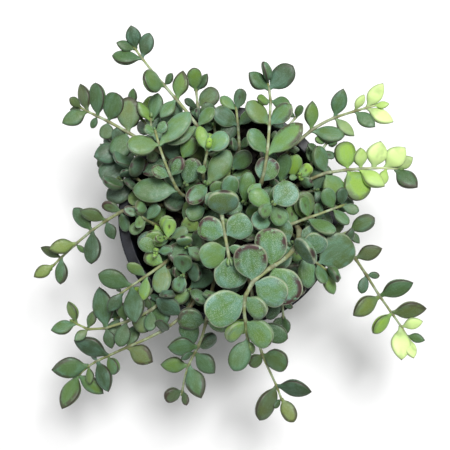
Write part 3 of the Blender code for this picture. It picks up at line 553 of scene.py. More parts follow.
# %% [markdown]
# ## Walking over a mesh
#
# Each leafy stem of the frame is a square tube, with every leaf drawn out of its side through two
# or three rings of four points to a tip. The places could be listed here once more, but the regular
# build can be read back, and then the fine stems always fit the frame. From any ring, the next one
# is the four neighbours that haven't been seen. They are kept in the mesh's own order, because a
# set's order differs from run to run.

# %% Walk from ring to ring
MOST_RINGS = 99


def neighbours(verts, seen):
    found = {edge.other_vert(vert) for vert in verts for edge in vert.link_edges} - seen
    return sorted(found, key=lambda vert: vert.index)


def ring_walk(start, barred=frozenset(), most=MOST_RINGS):
    """The rings of four that lead on from a point or ring, and what comes after the last."""
    rings, seen = [list(start)], set(start) | set(barred)
    after = neighbours(rings[-1], seen)
    while len(after) == 4 and len(rings) <= most:
        seen.update(after)
        rings.append(after)
        after = neighbours(after, seen)
    return rings, after


def middle(verts):
    return sum((vert.co for vert in verts), Vector()) / len(verts)


# %% [markdown]
# ## Reading a leaf
#
# A leaf's tip has exactly four neighbours, and from there the rings lead down to the leaf's seat on
# the stem. They lie at known shares of the leaf's length, which tells a leaf from any other point
# with four neighbours. The widest ring is the second from the tip. Its longer diagonal is the
# leaf's width, its other two points give the thickness and the side that faces up, and the bend
# that the ring shows is taken off, because the tree below bends each leaf itself.

# %% Read a leaf
# Where the rings lie, from the tip down, as shares of the leaf's length, and the share of its width
# that the widest one has. A leaf has either three rings or two.
RINGS_AND_WIDTH = (((0.87, 0.57, 0.22), 1.0), ((0.77, 0.32), 0.92))
WIDEST = 1
SHARE_SLACK = 0.03
Leaf = namedtuple("Leaf", "seat outward face length width thickness")


def read_leaf(tip):
    """The leaf that ends in this point, with the points that it owns, or None."""
    for shares, width_share in RINGS_AND_WIDTH:
        rings, _ = ring_walk([tip], most=len(shares) + 1)
        if len(rings) != len(shares) + 2:
            continue
        seat = middle(rings[-1])
        reach = tip.co - seat
        places = [(middle(ring) - seat).dot(reach) / reach.length_squared for ring in rings[1:-1]]
        if any(abs(place - share) > SHARE_SLACK for place, share in zip(places, shares)):
            continue
        ring, share = rings[1 + WIDEST], shares[WIDEST]
        pairs = [(a, b) for k, a in enumerate(ring) for b in ring[k + 1:]]
        right, left = max(pairs, key=lambda pair: (pair[0].co - pair[1].co).length)
        core = (right.co + left.co) / 2
        top, bottom = sorted((v for v in ring if v not in (right, left)),
                             key=lambda v: (v.co - core).length)
        outward = (core - seat - reach * share ** 2) / (share - share ** 2)
        face = top.co - bottom.co
        length = outward.length
        outward = outward.normalized()
        face = (face - outward * face.dot(outward)).normalized()
        width = (right.co - left.co).length / width_share
        leaf = Leaf(seat, outward, face, length, width, (top.co - bottom.co).length)
        return leaf, {vert for ring in rings[:-1] for vert in ring}
    return None


# %% [markdown]
# ## Reading a stem
#
# The mesh is copied and its loose triangles merged, and the frame's own is left alone. Once every
# leaf has been read and set aside, what is left is the tube, from the four points of its foot up to
# the bud. Its rings give the stem's middle line and its half width at each point.

# %% Read every stem
FOOT_HEIGHT = 87.3 * MM
MERGE_WITHIN = 0.02 * MM
BUD_SHARE = 0.5
LeafyStem = namedtuple("LeafyStem", "name line halves leaves")


def read_stem(name):
    bm = bmesh.new()
    bm.from_mesh(frame["nodes"][name].data)
    bmesh.ops.remove_doubles(bm, verts=bm.verts, dist=MERGE_WITHIN)
    bm.verts.index_update()
    leaves, owned = [], set()
    for vert in bm.verts:
        found = read_leaf(vert) if len(vert.link_edges) == 4 else None
        if found:
            leaves.append(found[0])
            owned |= found[1]
    tube = [vert for vert in bm.verts if vert not in owned]
    foot = sorted(tube, key=lambda vert: abs(vert.co.z - FOOT_HEIGHT))[:4]
    rings, bud = ring_walk(foot, barred=owned)
    line = [middle(ring) for ring in rings]
    halves = [max((vert.co - at).length for vert in ring) / math.sqrt(2)
              for ring, at in zip(rings, line)]
    line.append(middle(bud))
    halves.append(halves[-1] * BUD_SHARE)
    bm.free()
    return LeafyStem(name, line, halves, leaves)


stems = [read_stem(name) for name in plant_nodes]
print(sum(len(stem.leaves) for stem in stems), "leaves read;",
      "stem points", [len(stem.line) for stem in stems])

# %% [markdown]
# ## The growing tips
#
# Every stem ends in a tiny pair of young leaves, at right angles to the last full pair, as all
# pairs of this plant are. They are too small for the plain model and are added to the leaves that
# were read, so that the same tree grows them. A young leaf stands close to the stem's own direction
# and turns its flat face inwards. A few shoots have grown fresh leaves lately. Theirs are larger
# and brighter, with another pair inside, and they are listed by the place where they are seen.

# %% Young leaves at the tips
FRESH = ((198, 70, 5), (157, 227, 8), (170, 222, 7), (209, 139, 6), (299, 168, 7), (147, 108, 3),
         (152, 254, 6), (246, 330, 9), (141, 286, 5), (377, 325, 6), (362, 188, 7), (345, 152, 7),
         (338, 168, 4), (378, 180, 9), (361, 152, 5), (385, 103, 4))

# Each pair has its share of the last full leaf's length, and its angle from the stem.
TIP_PAIR = (0.24, 15.0)
FRESH_PAIRS = ((0.46, 26.0), (0.26, 13.0))
YOUNG_WIDTH, YOUNG_THICKNESS = 0.55, 0.36
FIRST_PAIR_BACK, NEXT_PAIR_AHEAD, OFF_THE_LINE = 1.2, 0.9, 0.3 * MM


def near(spots, seen_at, gain=1.0):
    """1 at a listed spot's middle, down to 0 at twice its reach. A gain widens the middle."""
    x, y = seen_at
    return unit(gain * max(1 - math.hypot(x - a, y - b) / (2 * reach) for a, b, reach in spots))


def young_leaves(stem):
    """The small pairs beyond the last full one."""
    ahead = (stem.line[-1] - stem.line[-3]).normalized()
    last = min(stem.leaves, key=lambda leaf: (leaf.seat - stem.line[-1]).length)
    side = last.seat - stem.line[-2]
    side = (side - ahead * side.dot(ahead)).normalized()
    fresh = near(FRESH, place_in_view(stem.line[-1])) > 0.3
    made = []
    for rank, (share, spread) in enumerate(FRESH_PAIRS if fresh else [TIP_PAIR]):
        across = ahead.cross(side).normalized() if rank % 2 == 0 else side
        tilt = math.radians(spread)
        for way in (across, -across):
            outward = ahead * math.cos(tilt) + way * math.sin(tilt)
            face = ahead * math.sin(tilt) - way * math.cos(tilt)
            back = (FIRST_PAIR_BACK - NEXT_PAIR_AHEAD * rank) * MM
            seat = stem.line[-1] - ahead * back + way * OFF_THE_LINE
            length = last.length * share
            made.append(Leaf(seat, outward, face, length, length * YOUNG_WIDTH,
                             length * YOUNG_THICKNESS))
    return made


tips = {stem.name: young_leaves(stem) for stem in stems if stem.leaves}
print(sum(map(len, tips.values())), "young leaves")

# %% [markdown]
# ## The leaves that stand out
#
# Most leaves of the plant are alike. Those that catch the eye are listed by the place where the
# camera sees them and by how far around it the list reaches: the ends that the sun has bleached and
# that are painted pale with the glare of strong light, the large round leaves with white specks,
# the old ones with the dark red flush, and the darkest of those that trail. Two lists are about
# size: broad leaves are turned up towards the eye and grow a little, and narrow ones are slimmed.

# %% Lists of leaves by place
# Spots of sun-bleached leaves that are also painted pale with the glare of strong light.
BLEACHED_AND_GLARE = ((383, 90, 12), (385, 108, 10), (396, 123, 8), (363, 94, 8), (351, 137, 6),
            (360, 150, 6), (379, 148, 10), (401, 150, 9), (373, 182, 9),
            (383, 178, 9), (371, 331, 6), (402, 350, 8), (413, 360, 7), (412, 323, 6))
SHOWY = ((250, 262, 14), (272, 243, 14), (233, 270, 12), (290, 290, 14), (215, 315, 18),
         (240, 228, 10), (235, 210, 10), (210, 225, 10), (263, 318, 12), (157, 124, 9),
         (163, 168, 9), (187, 170, 9), (145, 245, 10), (313, 243, 10), (264, 168, 8), (286, 190, 8))
FLUSHED = ((272, 243, 8), (251, 262, 8), (288, 292, 9), (152, 172, 6), (134, 128, 8),
           (168, 212, 7), (122, 208, 8), (182, 166, 7), (196, 196, 6), (208, 226, 7),
           (188, 192, 7), (264, 163, 6), (235, 205, 6))
DUSKY = ((371, 254, 10), (358, 307, 10), (413, 308, 8), (76, 320, 8), (60, 250, 9), (44, 272, 9),
         (143, 346, 8), (80, 92, 7), (178, 395, 8), (262, 400, 8), (284, 414, 8))
BROAD = ((155, 80, 8), (128, 115, 7), (146, 75, 8), (110, 128, 6), (125, 165, 14), (140, 188, 9),
         (120, 142, 8), (228, 116, 8), (250, 262, 6), (402, 343, 7), (372, 274, 4), (363, 282, 4),
         (120, 325, 12), (143, 318, 11), (166, 318, 9), (183, 332, 8), (345, 170, 7),
         (335, 200, 8), (196, 340, 6), (364, 118, 7), (287, 77, 7))
NARROW = ((178, 127, 10), (285, 137, 9), (330, 228, 9))
print(sum(map(len, (BLEACHED_AND_GLARE, SHOWY, FLUSHED, DUSKY, BROAD, NARROW))), "places")

# %% [markdown]
# ## Broad leaves and narrow ones
#
# Some leaves of the plant lie nearly level and show their whole broad face, and a few are slim. In
# the plain model they are turned more and are smaller, because it had to keep its leaves apart.
# Each could be placed by hand, but a rule is shorter: near a listed spot a leaf is turned up and
# grows, or is slimmed, and the more so the nearer it is to the spot.

# %% Leaves as they are shown
TURNED_UP, MORE_WIDTH, MORE_LENGTH, LESS_WIDTH = 0.8, 0.25, 0.2, 0.25
MIDDLE_OF_LEAF = 0.55


def seen_middle(leaf):
    return place_in_view(leaf.seat + leaf.outward * leaf.length * MIDDLE_OF_LEAF)


def shown(leaf):
    """The leaf as it is built: larger and turned up near a BROAD spot, slim near a NARROW one."""
    broad = near(BROAD, seen_middle(leaf), 1.5)
    narrow = near(NARROW, seen_middle(leaf), 1.5)
    face = leaf.face.lerp(UP, TURNED_UP * broad)
    face = (face - leaf.outward * face.dot(leaf.outward)).normalized()
    width = leaf.width * (1 + MORE_WIDTH * broad) * (1 - LESS_WIDTH * narrow)
    return leaf._replace(face=face, width=width, length=leaf.length * (1 + MORE_LENGTH * broad))


reshaped = [leaf for stem in stems for leaf in stem.leaves if shown(leaf).width != leaf.width]
print(len(reshaped), "leaves are shown broader or slimmer")

# %% [markdown]
# ## The character of each leaf
#
# Chance decides the rest, from a seed of the stem's own, so that a stem keeps its leaves when
# another one changes. A range of chance that starts below 0 leaves many leaves without the trait.
# The leaves that trail outside the pot are darker and less mealy. Those that lie low in the pot are
# painted darker and less mealy too, as painted shade under the leaves above. The form follows from
# the leaf's proportions and place, and in part from chance: many of the small ones in the middle
# are cupped, and bleached ones and slim trailing ones are pointed.

# %% Leaf characters
CHARACTER = ("meal", "fresh", "deep", "olive", "flush", "bleach", "specks", "line", "crease",
             "whim")
CHANCE = {"meal": (0.4, 1.0), "fresh": (-0.7, 0.35), "deep": (-0.15, 0.35), "olive": (-1.2, 0.6),
          "flush": (-1.4, 0.8), "crease": (0.5, 1.0)}
# Between these heights a leaf in the pot goes from full painted shade to none.
SHADED_LOW_LEAF = (98 * MM, 138 * MM)
TRAILING = (62 * MM, 80 * MM)
CUPPED_UNDER = 13.5 * MM
NARROW_UNDER, MIDDLE_UNDER, SLIM_UNDER, CUPPED_SHARE_UNDER = 0.6, 0.76, 0.8, 0.85
OFTEN = 0.6
LARGE_OVER = 11 * MM
LARGE_OUTSIDE_OVER = 7.5 * MM


def share_between(value, low, high):
    return unit((value - low) / (high - low))


def character_of(leaf, draw, young):
    """What the leaf carries for its finish, and the form that it takes."""
    seen_at = seen_middle(leaf)
    share = leaf.width / leaf.length
    outer = share_between(math.hypot(leaf.seat.x, leaf.seat.y), *TRAILING)
    # How far a low leaf inside the pot lies in painted shade.
    low = (1 - share_between(leaf.seat.z, *SHADED_LOW_LEAF)) * (1 - outer)
    showy, dusky = near(SHOWY, seen_at), near(DUSKY, seen_at)
    fresh = near(FRESH, seen_at, 1.5)
    bleach = near(BLEACHED_AND_GLARE, seen_at, 1.9) * (1 - 0.5 * fresh)
    small = not young and leaf.length < CUPPED_UNDER and share < CUPPED_SHARE_UNDER
    cupped = small and outer < 0.5 and showy < 0.3 and draw.random() < OFTEN
    pointed = bleach > 0.5 or (outer > 0.3 and share < SLIM_UNDER and draw.random() < OFTEN)
    form = ("d_cupped" if cupped else "e_pointed" if pointed
            else "a_narrow" if share < NARROW_UNDER
            else "b_middle" if share < MIDDLE_UNDER else "c_round")
    if not young and leaf.width > (LARGE_OVER if outer < 0.5 else LARGE_OUTSIDE_OVER):
        form += "_large"
    mealy = draw.uniform(*CHANCE["meal"]) * (0.5 if young else 1.0)
    # Low leaves lose meal as painted shade.
    mealy *= 1 - 0.4 * outer - 0.75 * low
    brighter = draw.uniform(*CHANCE["fresh"])
    darker = draw.uniform(*CHANCE["deep"])
    duller = draw.uniform(*CHANCE["olive"])
    redder = draw.uniform(*CHANCE["flush"])
    return {
        "form": form_names.index(form),
        "meal": unit(mealy + 0.3 * showy) * (1 - 0.7 * dusky),
        "fresh": unit(unit(brighter) + fresh + (0.2 if young else 0.0)),
        # Darker by chance, when trailing or dusky, and with painted shade on low leaves.
        "deep": unit(1.3 * low + 0.6 * outer + darker + dusky),
        "olive": unit(unit(duller) * (1 - showy) + 0.55 * dusky),
        "flush": unit(unit(redder) + 2 * near(FLUSHED, seen_at) + 0.5 * dusky),
        "bleach": bleach,
        "specks": unit(0.25 + 1.4 * showy) * (1 - bleach),
        "line": unit(0.2 + 0.7 * outer) * (1 - 0.75 * bleach),
        # How strong the painted shade in a cupped leaf's crease is.
        "crease": draw.uniform(*CHANCE["crease"]) if cupped else 0.0,
        "whim": draw.random(),
    }


print(len(CHARACTER), "traits for each leaf")

# %% [markdown]
# ## Growing a stem with Geometry Nodes
#
# One tree grows any stem. Its input is a bare mesh: a line of points for the stem and a loose point
# for every leaf. A leaf's point carries the leaf's turn, size and character. The tree makes a
# smooth tube along the line, swollen a little wherever a leaf's seat is near. It puts a leaf form
# on each point, turns and stretches it, and bends it up a little towards its tip. Instances are
# light while the tree works, and Realize Instances turns them into real faces before the bend. The
# forms come in the order of their names, so a form is chosen by its place in that order.

# %% Helpers for Geometry Nodes
def named(tree, name, data_type="FLOAT"):
    made = add(tree, "GeometryNodeInputNamedAttribute", {"Name": name}, data_type=data_type)
    return made.outputs["Attribute"]


def new_tree(name, **inputs):
    """A Geometry Nodes tree with named inputs, and its two end nodes."""
    tree = bpy.data.node_groups.new(name, "GeometryNodeTree")
    tree.interface.new_socket("Geometry", in_out="OUTPUT", socket_type="NodeSocketGeometry")
    tree.interface.new_socket("Geometry", in_out="INPUT", socket_type="NodeSocketGeometry")
    for label, (kind, value) in inputs.items():
        socket = tree.interface.new_socket(label, in_out="INPUT", socket_type=kind)
        socket.default_value = value
    return tree, add(tree, "NodeGroupInput"), add(tree, "NodeGroupOutput")


# %% [markdown]
# ## The tube
#
# A stem could be swept in Python, but a tree of nodes has a smooth curve and a sweep ready made.
# The line becomes a smooth curve with points at even steps, and a circle is swept along it.
# Proximity gives the distance from the nearest leaf's seat. It swells the tube there and darkens
# the scar round the seat.

# %% The tube's branch of the tree
STEM_SIDES = 8
TUBE_STEP = 1.5 * MM
SWELLING_REACH, SWOLLEN, BETWEEN_SEATS = (1.2 * MM, 4.0 * MM), 1.16, 0.94
SCAR_REACH = (1.6 * MM, 3.2 * MM)


def add_tube(tree, points, seats, sides):
    """The stem along the line of points, swollen and scarred near the seats."""
    distance = add(tree, "GeometryNodeProximity", {"Geometry": seats},
                   target_element="POINTS").outputs["Distance"]
    swelling = eased(tree, distance, *SWELLING_REACH, SWOLLEN, BETWEEN_SEATS)
    line = add(tree, "GeometryNodeMeshToCurve", {"Mesh": points})
    smooth = add(tree, "GeometryNodeCurveSplineType", {"Curve": line.outputs["Curve"]},
                 spline_type="CATMULL_ROM")
    fine = add(tree, "GeometryNodeResampleCurve", {"Curve": smooth.outputs["Curve"],
                                                   "Length": TUBE_STEP}, mode="LENGTH")
    ring = add(tree, "GeometryNodeCurvePrimitiveCircle", {"Resolution": sides, "Radius": 1.0})
    tube = add(tree, "GeometryNodeCurveToMesh", {
        "Curve": fine.outputs["Curve"], "Profile Curve": ring.outputs["Curve"],
        "Scale": product(tree, named(tree, "radius"), swelling), "Fill Caps": True})
    scarred = add(tree, "GeometryNodeStoreNamedAttribute", {
        "Geometry": tube.outputs["Mesh"], "Name": "scar",
        "Value": eased(tree, distance, *SCAR_REACH, 1.0, 0.0)}, domain="POINT")
    return add(tree, "GeometryNodeSetMaterial", {
        "Geometry": scarred.outputs["Geometry"], "Material": stem_finish}).outputs["Geometry"]


# %% [markdown]
# ## The leaves on it
#
# Each seat takes its form as an instance, turned and stretched by what the seat carries. The bend
# moves each point of a leaf along the leaf's own face, by the square of how far along it lies. The
# tube and the leaves are then joined.

# %% The leaves' branch and the whole tree
LEAF_BEND = 0.08


def add_leaves(tree, seats, bend):
    """A leaf on each seat, of the seat's own form, turn and size."""
    forms = add(tree, "GeometryNodeCollectionInfo", {
        "Collection": leaf_forms, "Separate Children": True, "Reset Children": True})
    leaves = add(tree, "GeometryNodeInstanceOnPoints", {
        "Points": seats, "Instance": forms.outputs["Instances"],
        "Pick Instance": True, "Instance Index": named(tree, "form", "INT"),
        "Rotation": named(tree, "turn", "QUATERNION"),
        "Scale": named(tree, "size", "FLOAT_VECTOR")})
    real = add(tree, "GeometryNodeRealizeInstances", {"Geometry": leaves.outputs["Instances"]})
    along = named(tree, "along")
    lift = product(tree, along, along, bend, named(tree, "curl"))
    shift = add(tree, "ShaderNodeVectorMath", {
        0: named(tree, "face", "FLOAT_VECTOR"), "Scale": lift}, operation="SCALE")
    bent = add(tree, "GeometryNodeSetPosition", {
        "Geometry": real.outputs["Geometry"], "Offset": shift.outputs[0]})
    return add(tree, "GeometryNodeSetMaterial", {
        "Geometry": bent.outputs["Geometry"], "Material": leaf_finish}).outputs["Geometry"]


def make_stem_tree():
    tree, given, out = new_tree("leafy stem", Sides=("NodeSocketInt", STEM_SIDES),
                                Bend=("NodeSocketFloat", LEAF_BEND))
    split = add(tree, "GeometryNodeSeparateGeometry", {
        "Geometry": given.outputs["Geometry"], "Selection": named(tree, "is_leaf", "BOOLEAN")})
    points, seats = split.outputs["Inverted"], split.outputs["Selection"]
    both = add(tree, "GeometryNodeJoinGeometry", {
        "Geometry": add_tube(tree, points, seats, given.outputs["Sides"])})
    tree.links.new(add_leaves(tree, seats, given.outputs["Bend"]), both.inputs["Geometry"])
    whole = add(tree, "GeometryNodeSetShadeSmooth", {"Geometry": both.outputs["Geometry"]})
    tree.links.new(whole.outputs["Geometry"], out.inputs["Geometry"])
    return tree


stem_tree = make_stem_tree()
print("stem tree has", len(stem_tree.nodes), "nodes")

# %% [markdown]
# ## The bare mesh
#
# This is what the tree reads. A leaf's own axes, from side to side, outwards and up, make the
# rotation of its point. Every attribute has a value for all points, so the stem's points get
# plain ones where only leaves need them, and the other way round. Leaves are made a little wider
# and fuller than in the plain model, whose flat faces cut their corners.

# %% A bare mesh for the tree
STEM_ROUND = 1.2
STOUT = {"stem_south_showy": 1.35, "stem_centre_tall": 1.2}
SLIMMER_AT_TIP = 0.2
FULLER = 1.36
WIDER = 1.07
CURLS = (0.6, 1.6)


def carry(mesh, name, kind, values):
    """Writes one attribute with a value for every point."""
    attribute = mesh.attributes.new(name, kind, "POINT")
    number = {"BOOLEAN": bool, "INT": np.int32}.get(kind, np.float32)
    key = "vector" if kind == "FLOAT_VECTOR" else "value"
    attribute.data.foreach_set(key, np.array(values, number).ravel())


def bare_mesh(stem):
    """The stem's line and the leaves' points, with all that the tree reads."""
    draw = random.Random(stem.name)
    grown = [(shown(leaf), False) for leaf in stem.leaves]
    grown += [(leaf, True) for leaf in tips.get(stem.name, [])]
    rows = len(stem.line)
    places = [*stem.line, *(leaf.seat for leaf, _ in grown)]
    mesh = bpy.data.meshes.new(stem.name)
    mesh.from_pydata(places, [(k, k + 1) for k in range(rows - 1)], [])
    stout = STEM_ROUND * STOUT.get(stem.name, 1.0)
    youth = [k / (rows - 1) for k in range(rows)]
    radii = [half * stout * (1 - SLIMMER_AT_TIP * young)
             for half, young in zip(stem.halves, youth)]
    bleach = [near(BLEACHED_AND_GLARE, place_in_view(place), 1.4) for place in stem.line]
    turns, sizes, faces, curls = [], [], [], []
    for leaf, _ in grown:
        right = leaf.outward.cross(leaf.face)
        turn = Matrix((right, leaf.outward, leaf.face)).transposed().to_quaternion()
        turns.append(tuple(turn))
        sizes.append((leaf.width * WIDER, leaf.length, leaf.thickness * FULLER))
        faces.append(tuple(leaf.face))
        curls.append(leaf.length * draw.uniform(*CURLS))
    characters = [character_of(leaf, draw, young) for leaf, young in grown]
    nothing = [0.0] * len(grown)
    carry(mesh, "is_leaf", "BOOLEAN", [False] * rows + [True] * len(grown))
    carry(mesh, "radius", "FLOAT", radii + nothing)
    carry(mesh, "youth", "FLOAT", youth + nothing)
    carry(mesh, "turn", "QUATERNION", [(1, 0, 0, 0)] * rows + turns)
    carry(mesh, "size", "FLOAT_VECTOR", [(1, 1, 1)] * rows + sizes)
    carry(mesh, "face", "FLOAT_VECTOR", [(0, 0, 0)] * rows + faces)
    carry(mesh, "curl", "FLOAT", [0.0] * rows + curls)
    carry(mesh, "form", "INT", [0] * rows + [each["form"] for each in characters])
    for key in CHARACTER:
        along_stem = bleach if key == "bleach" else [0.0] * rows
        carry(mesh, key, "FLOAT", along_stem + [each[key] for each in characters])
    return mesh


# %% [markdown]
# ## Turning a tree's result into a piece
#
# The tree is the modifier of a start object. Its inputs are set by the identifiers of their
# sockets. The evaluated object then gives a plain mesh, as the export needs it, and the start
# object is thrown away. So are the forms, once no tree needs them.

# %% Grow every stem
def evaluated_mesh(thing):
    graph = bpy.context.evaluated_depsgraph_get()
    return bpy.data.meshes.new_from_object(thing.evaluated_get(graph))


def grow(name, mesh, tree, **inputs):
    """The plain mesh that a Geometry Nodes tree makes from a start mesh, as a new object."""
    start = new_object(name + " start", mesh)
    modifier = start.modifiers.new("grow", "NODES")
    modifier.node_group = tree
    for socket in tree.interface.items_tree:
        if socket.in_out == "INPUT" and socket.name in inputs:
            modifier[socket.identifier] = inputs[socket.name]
    done = evaluated_mesh(start)
    bpy.data.objects.remove(start)
    return new_object(name, done)


def remove_forms(collection):
    for form in list(collection.objects):
        bpy.data.objects.remove(form)


def settle(piece, node):
    """The piece rides on the root body and stands for one node of the frame."""
    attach(piece, "root")
    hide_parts(node)


faces_made = 0
for stem in stems:
    piece = grow("fine_" + stem.name, bare_mesh(stem), stem_tree, Sides=STEM_SIDES,
                 Bend=LEAF_BEND)
    settle(piece, stem.name)
    faces_made += len(piece.data.polygons)
remove_forms(leaf_forms)
print(len(stems), "leafy stems with", faces_made, "faces")

# %% [markdown]
# ## The pot's wall
#
# The pot is moulded in one piece of thin plastic. A cylinder with modifiers could come near it, but
# a turned outline has every size in one place. It runs up the inside, over the flat lip, round the
# skirt and down the outside, and is a short list of corners, each with its distance from the axis,
# its height and its rounding, in millimetres. A rounded corner becomes a small curve with one point
# more on each side of it, so that smooth shading stays flat on the flat parts.

# %% Turned outline
POT_CORNERS = (
    (0.0, 2.4, 0.0), (48.24, 2.4, 2.0), (63.0, 108.0, 0.8), (70.0, 108.0, 0.9), (70.0, 97.0, 0.5),
    (68.4, 97.0, 0.5), (68.4, 106.4, 0.6), (64.4, 106.4, 0.6), (49.0, 0.0, 0.9), (0.0, 0.0, 0.0))
POT_SIDES = 144
CURVE_STEPS = 4
BESIDE_A_CURVE = 1.4


def rounded(corners):
    """The outline's points in metres, with each corner made a small curve."""
    points = [Vector(corners[0][:2])]
    for before, (x, z, radius), after in zip(corners, corners[1:], corners[2:]):
        corner = Vector((x, z))
        back = (Vector(before[:2]) - corner).normalized() * radius
        on = (Vector(after[:2]) - corner).normalized() * radius
        points.append(corner + back * BESIDE_A_CURVE)
        for k in range(CURVE_STEPS + 1):
            t = k / CURVE_STEPS
            points.append(corner + back * (1 - t) ** 2 + on * t ** 2)
        points.append(corner + on * BESIDE_A_CURVE)
    points.append(Vector(corners[-1][:2]))
    return [point * MM for point in points]


def turned(points, sides):
    """A closed body turned about the Z axis, from an outline that starts and ends on it."""
    bm = bmesh.new()
    rings = []
    for point in points[1:-1]:
        angles = (math.tau * k / sides for k in range(sides))
        rings.append([bm.verts.new((point.x * math.cos(a), point.x * math.sin(a), point.y))
                      for a in angles])
    ends = [bm.verts.new((0, 0, point.y)) for point in (points[0], points[-1])]
    join_rings(bm, rings, *ends)
    return bm


pot_outline = rounded(POT_CORNERS)
print(len(pot_outline), "points in the pot's outline")

# %% [markdown]
# ## The pot's finish
#
# The plastic is black with a satin shine. Handling and water leave it a little paler in broad
# clouds, and dust lies in fine points. All of it is noise on Object coordinates, because nothing
# here follows the pot's shape.

# %% Pot finish
POT_BLACK = colour(9, 12, 20)
POT_WORN = colour(17, 21, 30)
POT_DUST = colour(86, 84, 78)


def make_pot_finish():
    made, tree, shader, place = new_finish("black plastic", Specular_IOR_Level=0.3)
    broad = noise(tree, place, 60.0, 3.0)
    fine = noise(tree, place, 900.0, 4.0)
    skin = mixed(tree, eased(tree, broad, 0.4, 0.65), POT_BLACK, POT_WORN)
    skin = mixed(tree, eased(tree, fine, 0.58, 0.72, 0.0, 0.2), skin, POT_DUST)
    tree.links.new(skin, shader.inputs["Base Color"])
    tree.links.new(eased(tree, broad, 0.3, 0.7, 0.36, 0.52), shader.inputs["Roughness"])
    roughen(tree, shader, fine, 0.05 * MM, 0.5)
    return made


pot_finish = make_pot_finish()
print("pot finish has", len(pot_finish.node_tree.nodes), "nodes")

# %% [markdown]
# ## The pot with its holes
#
# Six holes for water go through the floor. A Boolean modifier with six pegs cuts them, because a
# turned body has no place for them. The mesh is taken from the evaluated pot, and edges sharper
# than a limit are then kept sharp.

# %% Make the pot
DRAIN_HOLES, DRAIN_SIDES = 6, 24
DRAIN_RADIUS, DRAIN_CIRCLE, DRAIN_DEPTH = 4.0 * MM, 36.0 * MM, 9 * MM
SMOOTH_UNDER = 35


def drain_cutters():
    """A peg through the floor for each hole."""
    bm = bmesh.new()
    for k in range(DRAIN_HOLES):
        angle = math.tau * k / DRAIN_HOLES
        at = (DRAIN_CIRCLE * math.cos(angle), DRAIN_CIRCLE * math.sin(angle), 0)
        bmesh.ops.create_cone(bm, cap_ends=True, segments=DRAIN_SIDES, radius1=DRAIN_RADIUS,
                              radius2=DRAIN_RADIUS, depth=DRAIN_DEPTH,
                              matrix=Matrix.Translation(at))
    return bm


def make_pot():
    pot = new_object("fine_pot", mesh_from("fine_pot", turned(pot_outline, POT_SIDES)))
    cutter = new_object("drains", mesh_from("drains", drain_cutters()))
    for body in (pot, cutter):
        body.data.materials.append(pot_finish)
    boolean = pot.modifiers.new("drains", "BOOLEAN")
    boolean.operation, boolean.solver, boolean.object = "DIFFERENCE", "EXACT", cutter
    cut = evaluated_mesh(pot)
    pot.modifiers.clear()
    pot.data = cut
    bpy.data.objects.remove(cutter)
    cut.shade_smooth()
    cut.set_sharp_from_angle(angle=math.radians(SMOOTH_UNDER))
    return pot


pot = make_pot()
settle(pot, "pot")
print("pot with", len(pot.data.polygons), "faces")

# %% [markdown]
# ## The potting mix
#
# The mix is dark, damp and crumbly. The frame's soil has the right body, with a hole for each stem,
# so it stays and only gets a finish: brown patches, lighter grit and bumps, all from noise.

# %% Soil finish
SOIL_DARK = colour(18, 15, 12)
SOIL_BROWN = colour(44, 36, 28)


def make_soil_finish():
    made, tree, shader, place = new_finish("potting mix", Roughness=0.95)
    lumps = noise(tree, place, 300.0, 3.0)
    grit = noise(tree, place, 1800.0, 4.0)
    skin = mixed(tree, eased(tree, lumps, 0.4, 0.65), SOIL_DARK, SOIL_BROWN)
    skin = mixed(tree, eased(tree, grit, 0.6, 0.75, 0.0, 0.5), skin, SOIL_BROWN)
    tree.links.new(skin, shader.inputs["Base Color"])
    roughen(tree, shader, calc(tree, "ADD", lumps, grit), 0.6 * MM)
    return made


soil_finish = make_soil_finish()
for slot in frame["nodes"]["soil"].material_slots:
    slot.material = soil_finish
print("soil finish has", len(soil_finish.node_tree.nodes), "nodes")

# %% [markdown]
# ## The crumbs
#
# Bumps alone leave the top of the soil a smooth dome, so real crumbs are strewn on it. Three lumps
# are enough, because each is turned and sized by chance. They are balls of twenty faces pulled out
# of round. They will lie on a copy of the soil's upper faces, because nothing else of it shows.

# %% Crumb forms and the soil's top
SOIL_TOP = 94 * MM
STEEPEST_TOP = 0.5
CRUMB_FORMS = 3
CRUMB_PULL, CRUMB_FLATNESS = (0.65, 1.25), 0.75


def make_crumb_form(number):
    """A lump of twenty faces, pulled out of round by chance."""
    draw = random.Random(number)
    bm = bmesh.new()
    bmesh.ops.create_icosphere(bm, subdivisions=1, radius=1.0)
    for vert in bm.verts:
        vert.co *= draw.uniform(*CRUMB_PULL)
        vert.co.z *= CRUMB_FLATNESS
    mesh = mesh_from(f"crumb {number}", bm)
    crumb_forms.objects.link(bpy.data.objects.new(mesh.name, mesh))


def soil_surface():
    """A copy of the soil's upper faces, as the start for the crumbs."""
    bm = bmesh.new()
    bm.from_mesh(frame["nodes"]["soil"].data)
    bmesh.ops.remove_doubles(bm, verts=bm.verts, dist=MERGE_WITHIN)
    buried = [face for face in bm.faces
              if face.normal.z < STEEPEST_TOP or face.calc_center_median().z < SOIL_TOP]
    bmesh.ops.delete(bm, geom=buried, context="FACES")
    return mesh_from("soil surface", bm)


crumb_forms = bpy.data.collections.new("crumb forms")
for number in range(CRUMB_FORMS):
    make_crumb_form(number)
soil_top = soil_surface()
print("crumbs may lie on", len(soil_top.polygons), "faces")

# %% [markdown]
# ## Strewing them
#
# A second tree spreads points over those faces, and each point takes one of the lumps. Placing them
# one by one in Python would take a longer script for the same look.

# %% Crumbs on the soil
CRUMBS_A_SQUARE_METRE = 180000.0
CRUMB_SIZE = 1.2 * MM
CRUMB_SIZES = (0.4, 1.5)
CRUMB_SEED, TURN_SEED, SIZE_SEED = 4, 1, 2

